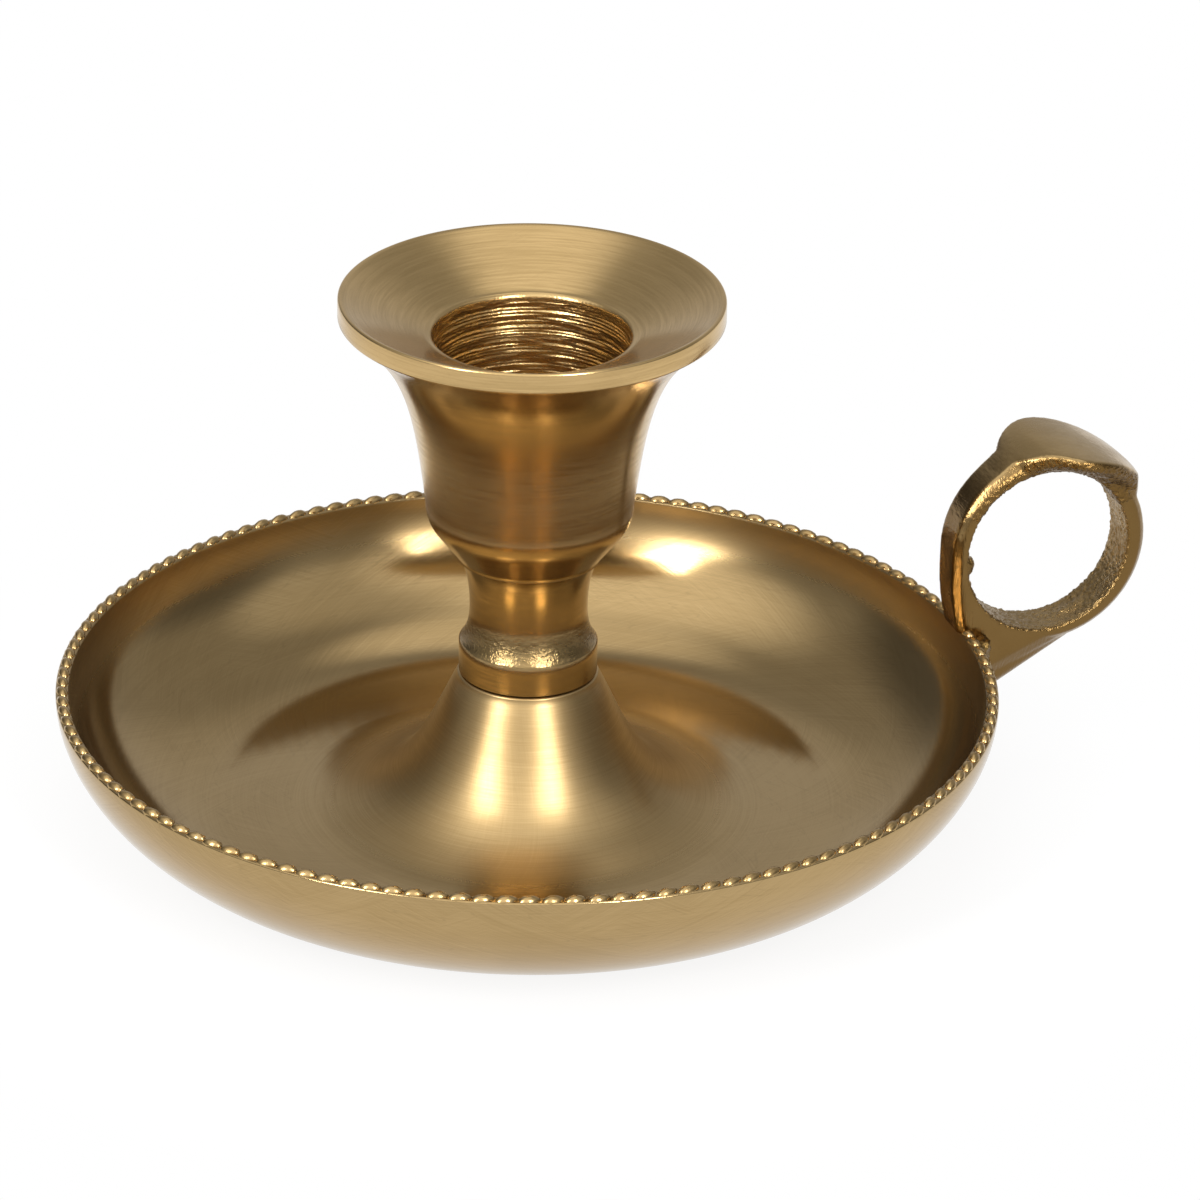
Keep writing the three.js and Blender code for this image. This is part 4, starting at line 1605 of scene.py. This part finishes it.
@dataclass
class Studio:
    """Floor, lights, world and camera; azimuths start at the camera."""

    distance: float = 864.2
    target_height: float = 28.91
    azimuth: float = -18.8
    elevation: float = 25.421
    yaw: float = 0.574
    roll: float = 0.689
    lens: float = 213.58
    sensor: float = 36.0
    clip: Pair = (0.01, 50.0)
    floor_size: float = 6.0
    floor_white: float = 0.9
    floor_shown: tuple[float, float, float, float] = (0.05, 0.095, 0.86, 1.0)
    floor_mirrored: tuple[float, float, float, float] = (0.06, 0.2, 0.78, 1.0)
    horizon: float = 0.06
    room_level: float = 0.40
    panels: tuple[Panel, ...] = (
        Panel(-35, 62, 12, 50, 1.5),
        Panel(70, 52, 10, 30, 0.72),
        Panel(175, 12, 16, 37, 0.58),
        Panel(-5, 44, 18, 48, 1.5),
        Panel(-122, 8, 10, 34, 0.14),
        Panel(88, 6, 10, 32, 0.17),
        Panel(180, 70, 8, 22, 1.25),
    )
    lamps: tuple[SoftBox, ...] = (
        SoftBox("key_left", -42, 37, 0.22, 0.42, 3.3),
        SoftBox("key_right", 27, 38, 0.22, 0.42, 3.3),
        SoftBox("low_left", -44, 21, 0.2, 0.12, 2.2),
        SoftBox("low_right", 26, 22, 0.2, 0.12, 2.2),
    )

    def build(self) -> None:
        """Makes everything round the object."""
        self._camera()
        self._world()
        self._floor()
        for lamp in self.lamps:
            self._hang(lamp)

    def _camera(self) -> None:
        """Sets the camera where the photograph was taken from."""
        rise, yaw, roll = (math.radians(a) for a in (self.elevation, self.yaw, self.roll))
        ahead = Vector((0, math.cos(rise), -math.sin(rise)))
        right = Vector((1, 0, 0))
        up = right.cross(ahead)
        spot = -self.distance * ahead + Z_AXIS * self.target_height
        gaze = math.cos(yaw) * ahead + math.sin(yaw) * right
        side = math.cos(yaw) * right - math.sin(yaw) * ahead
        level = math.cos(roll) * side + math.sin(roll) * up
        crown = -math.sin(roll) * side + math.cos(roll) * up
        turn = Matrix.Rotation(math.radians(self.azimuth), 4, "Z")
        frame = Matrix((level, crown, -gaze)).transposed().to_4x4()
        data = bpy.data.cameras.new("camera")
        data.lens = self.lens
        data.sensor_fit = "HORIZONTAL"
        data.sensor_width = self.sensor
        data.clip_start, data.clip_end = self.clip
        camera = bpy.data.objects.new("camera", data)
        camera.matrix_world = turn @ Matrix.Translation(spot * MM) @ frame
        bpy.context.scene.collection.objects.link(camera)
        bpy.context.scene.camera = camera

    def _towards(self, azimuth: float, elevation: float) -> Vector:
        """A direction from the object.

        Args:
            azimuth: Degrees to the right of the camera.
            elevation: Degrees above the horizon.

        Returns:
            The unit vector.
        """
        around, rise = math.radians(self.azimuth + azimuth), math.radians(elevation)
        flat = Vector((math.sin(around), -math.cos(around), 0))
        return flat * math.cos(rise) + Z_AXIS * math.sin(rise)

    def _rays(self, board: NodeBoard) -> tuple[Socket, Socket]:
        """Tells the camera's rays from mirrored ones.

        Args:
            board: Node tree.

        Returns:
            1 for the camera's rays, and 1 for rays off or through a shiny surface.
        """
        path = board.add("ShaderNodeLightPath").outputs
        mirrored = board.calc("MAXIMUM", path["Is Glossy Ray"], path["Is Transmission Ray"])
        return path["Is Camera Ray"], mirrored

    def _world(self) -> None:
        """White to the camera; to everything else a studio of light and dark panels."""
        world = bpy.data.worlds.new("studio")
        bpy.context.scene.world = world
        world.use_nodes = True
        board = NodeBoard(world.node_tree)
        ray = board.add("ShaderNodeTexCoord").outputs["Generated"]
        room: Value = self.room_level
        for panel in self.panels:
            middle = self._towards(panel.azimuth, panel.elevation)
            facing = board.vector("DOT_PRODUCT", {0: ray, 1: middle}, "Value")
            outer, inner = (math.cos(math.radians(a)) for a in (panel.edge, panel.core))
            room = board.blend(board.ease(facing, outer, inner), room, panel.level)
        camera, mirrored = self._rays(board)
        rise = board.add("ShaderNodeSeparateXYZ", {0: ray}).outputs["Z"]
        backdrop = board.times(mirrored, board.ease(rise, self.horizon, 0.0))
        strength = board.calc("MAXIMUM", board.calc("MAXIMUM", camera, backdrop), room)
        back = board.add("ShaderNodeBackground", {"Color": (1, 1, 1, 1), "Strength": strength})
        board.show(back, "ShaderNodeOutputWorld")

    def _floor(self) -> None:
        """Lays a white floor that keeps the object's shadow and fades into the backdrop."""
        floor = bmesh.new()
        bmesh.ops.create_grid(floor, x_segments=2, y_segments=2, size=self.floor_size / MM / 2)
        piece = finished("floor", floor)
        material, board = NodeBoard.material("floor_white")
        spot = Place(board)
        camera, mirrored = self._rays(board)
        shown = board.times(camera, board.ease(spot.radius, *self.floor_shown))
        echo = board.times(mirrored, board.ease(spot.radius, *self.floor_mirrored))
        matt = board.add("ShaderNodeBsdfDiffuse", {"Color": (*(self.floor_white,) * 3, 1)})
        glow = board.add("ShaderNodeEmission", {"Color": (1, 1, 1, 1), "Strength": 1.0})
        board.show(board.add("ShaderNodeMixShader", {
            0: board.calc("MAXIMUM", shown, echo), 1: matt.outputs[0], 2: glow.outputs[0],
        }))
        piece.data.materials.append(material)

    def _hang(self, lamp: SoftBox) -> None:
        """Hangs one softbox that faces the object.

        Args:
            lamp: The softbox.
        """
        away = self._towards(lamp.azimuth, lamp.elevation)
        data = bpy.data.lights.new(lamp.name, "AREA")
        data.shape = "RECTANGLE"
        data.size, data.size_y = lamp.width, lamp.height
        data.energy = lamp.power
        light = bpy.data.objects.new(lamp.name, data)
        light.location = away * lamp.distance + Z_AXIS * self.target_height * MM
        light.rotation_mode = "QUATERNION"
        light.rotation_quaternion = (-away).to_track_quat("-Z", "Y")
        bpy.context.scene.collection.objects.link(light)


def main() -> None:
    """Builds and dresses every sub-assembly, then the studio."""
    logging.basicConfig(level=logging.INFO, format="%(name)s: %(message)s")
    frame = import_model()
    bpy.context.scene.view_settings.view_transform = "Standard"
    handle = RingHandle(frame["nodes"]["handle_braze"])
    for assembly in (SaucerPan(), CandleCup(), handle, CupClamp()):
        pieces = assembly.build()
        assembly.dress(pieces)
        for piece in pieces:
            LOG.info("%s: %d faces", piece.name, len(piece.data.polygons))
    Studio().build()


if __name__ == "__main__":
    main()
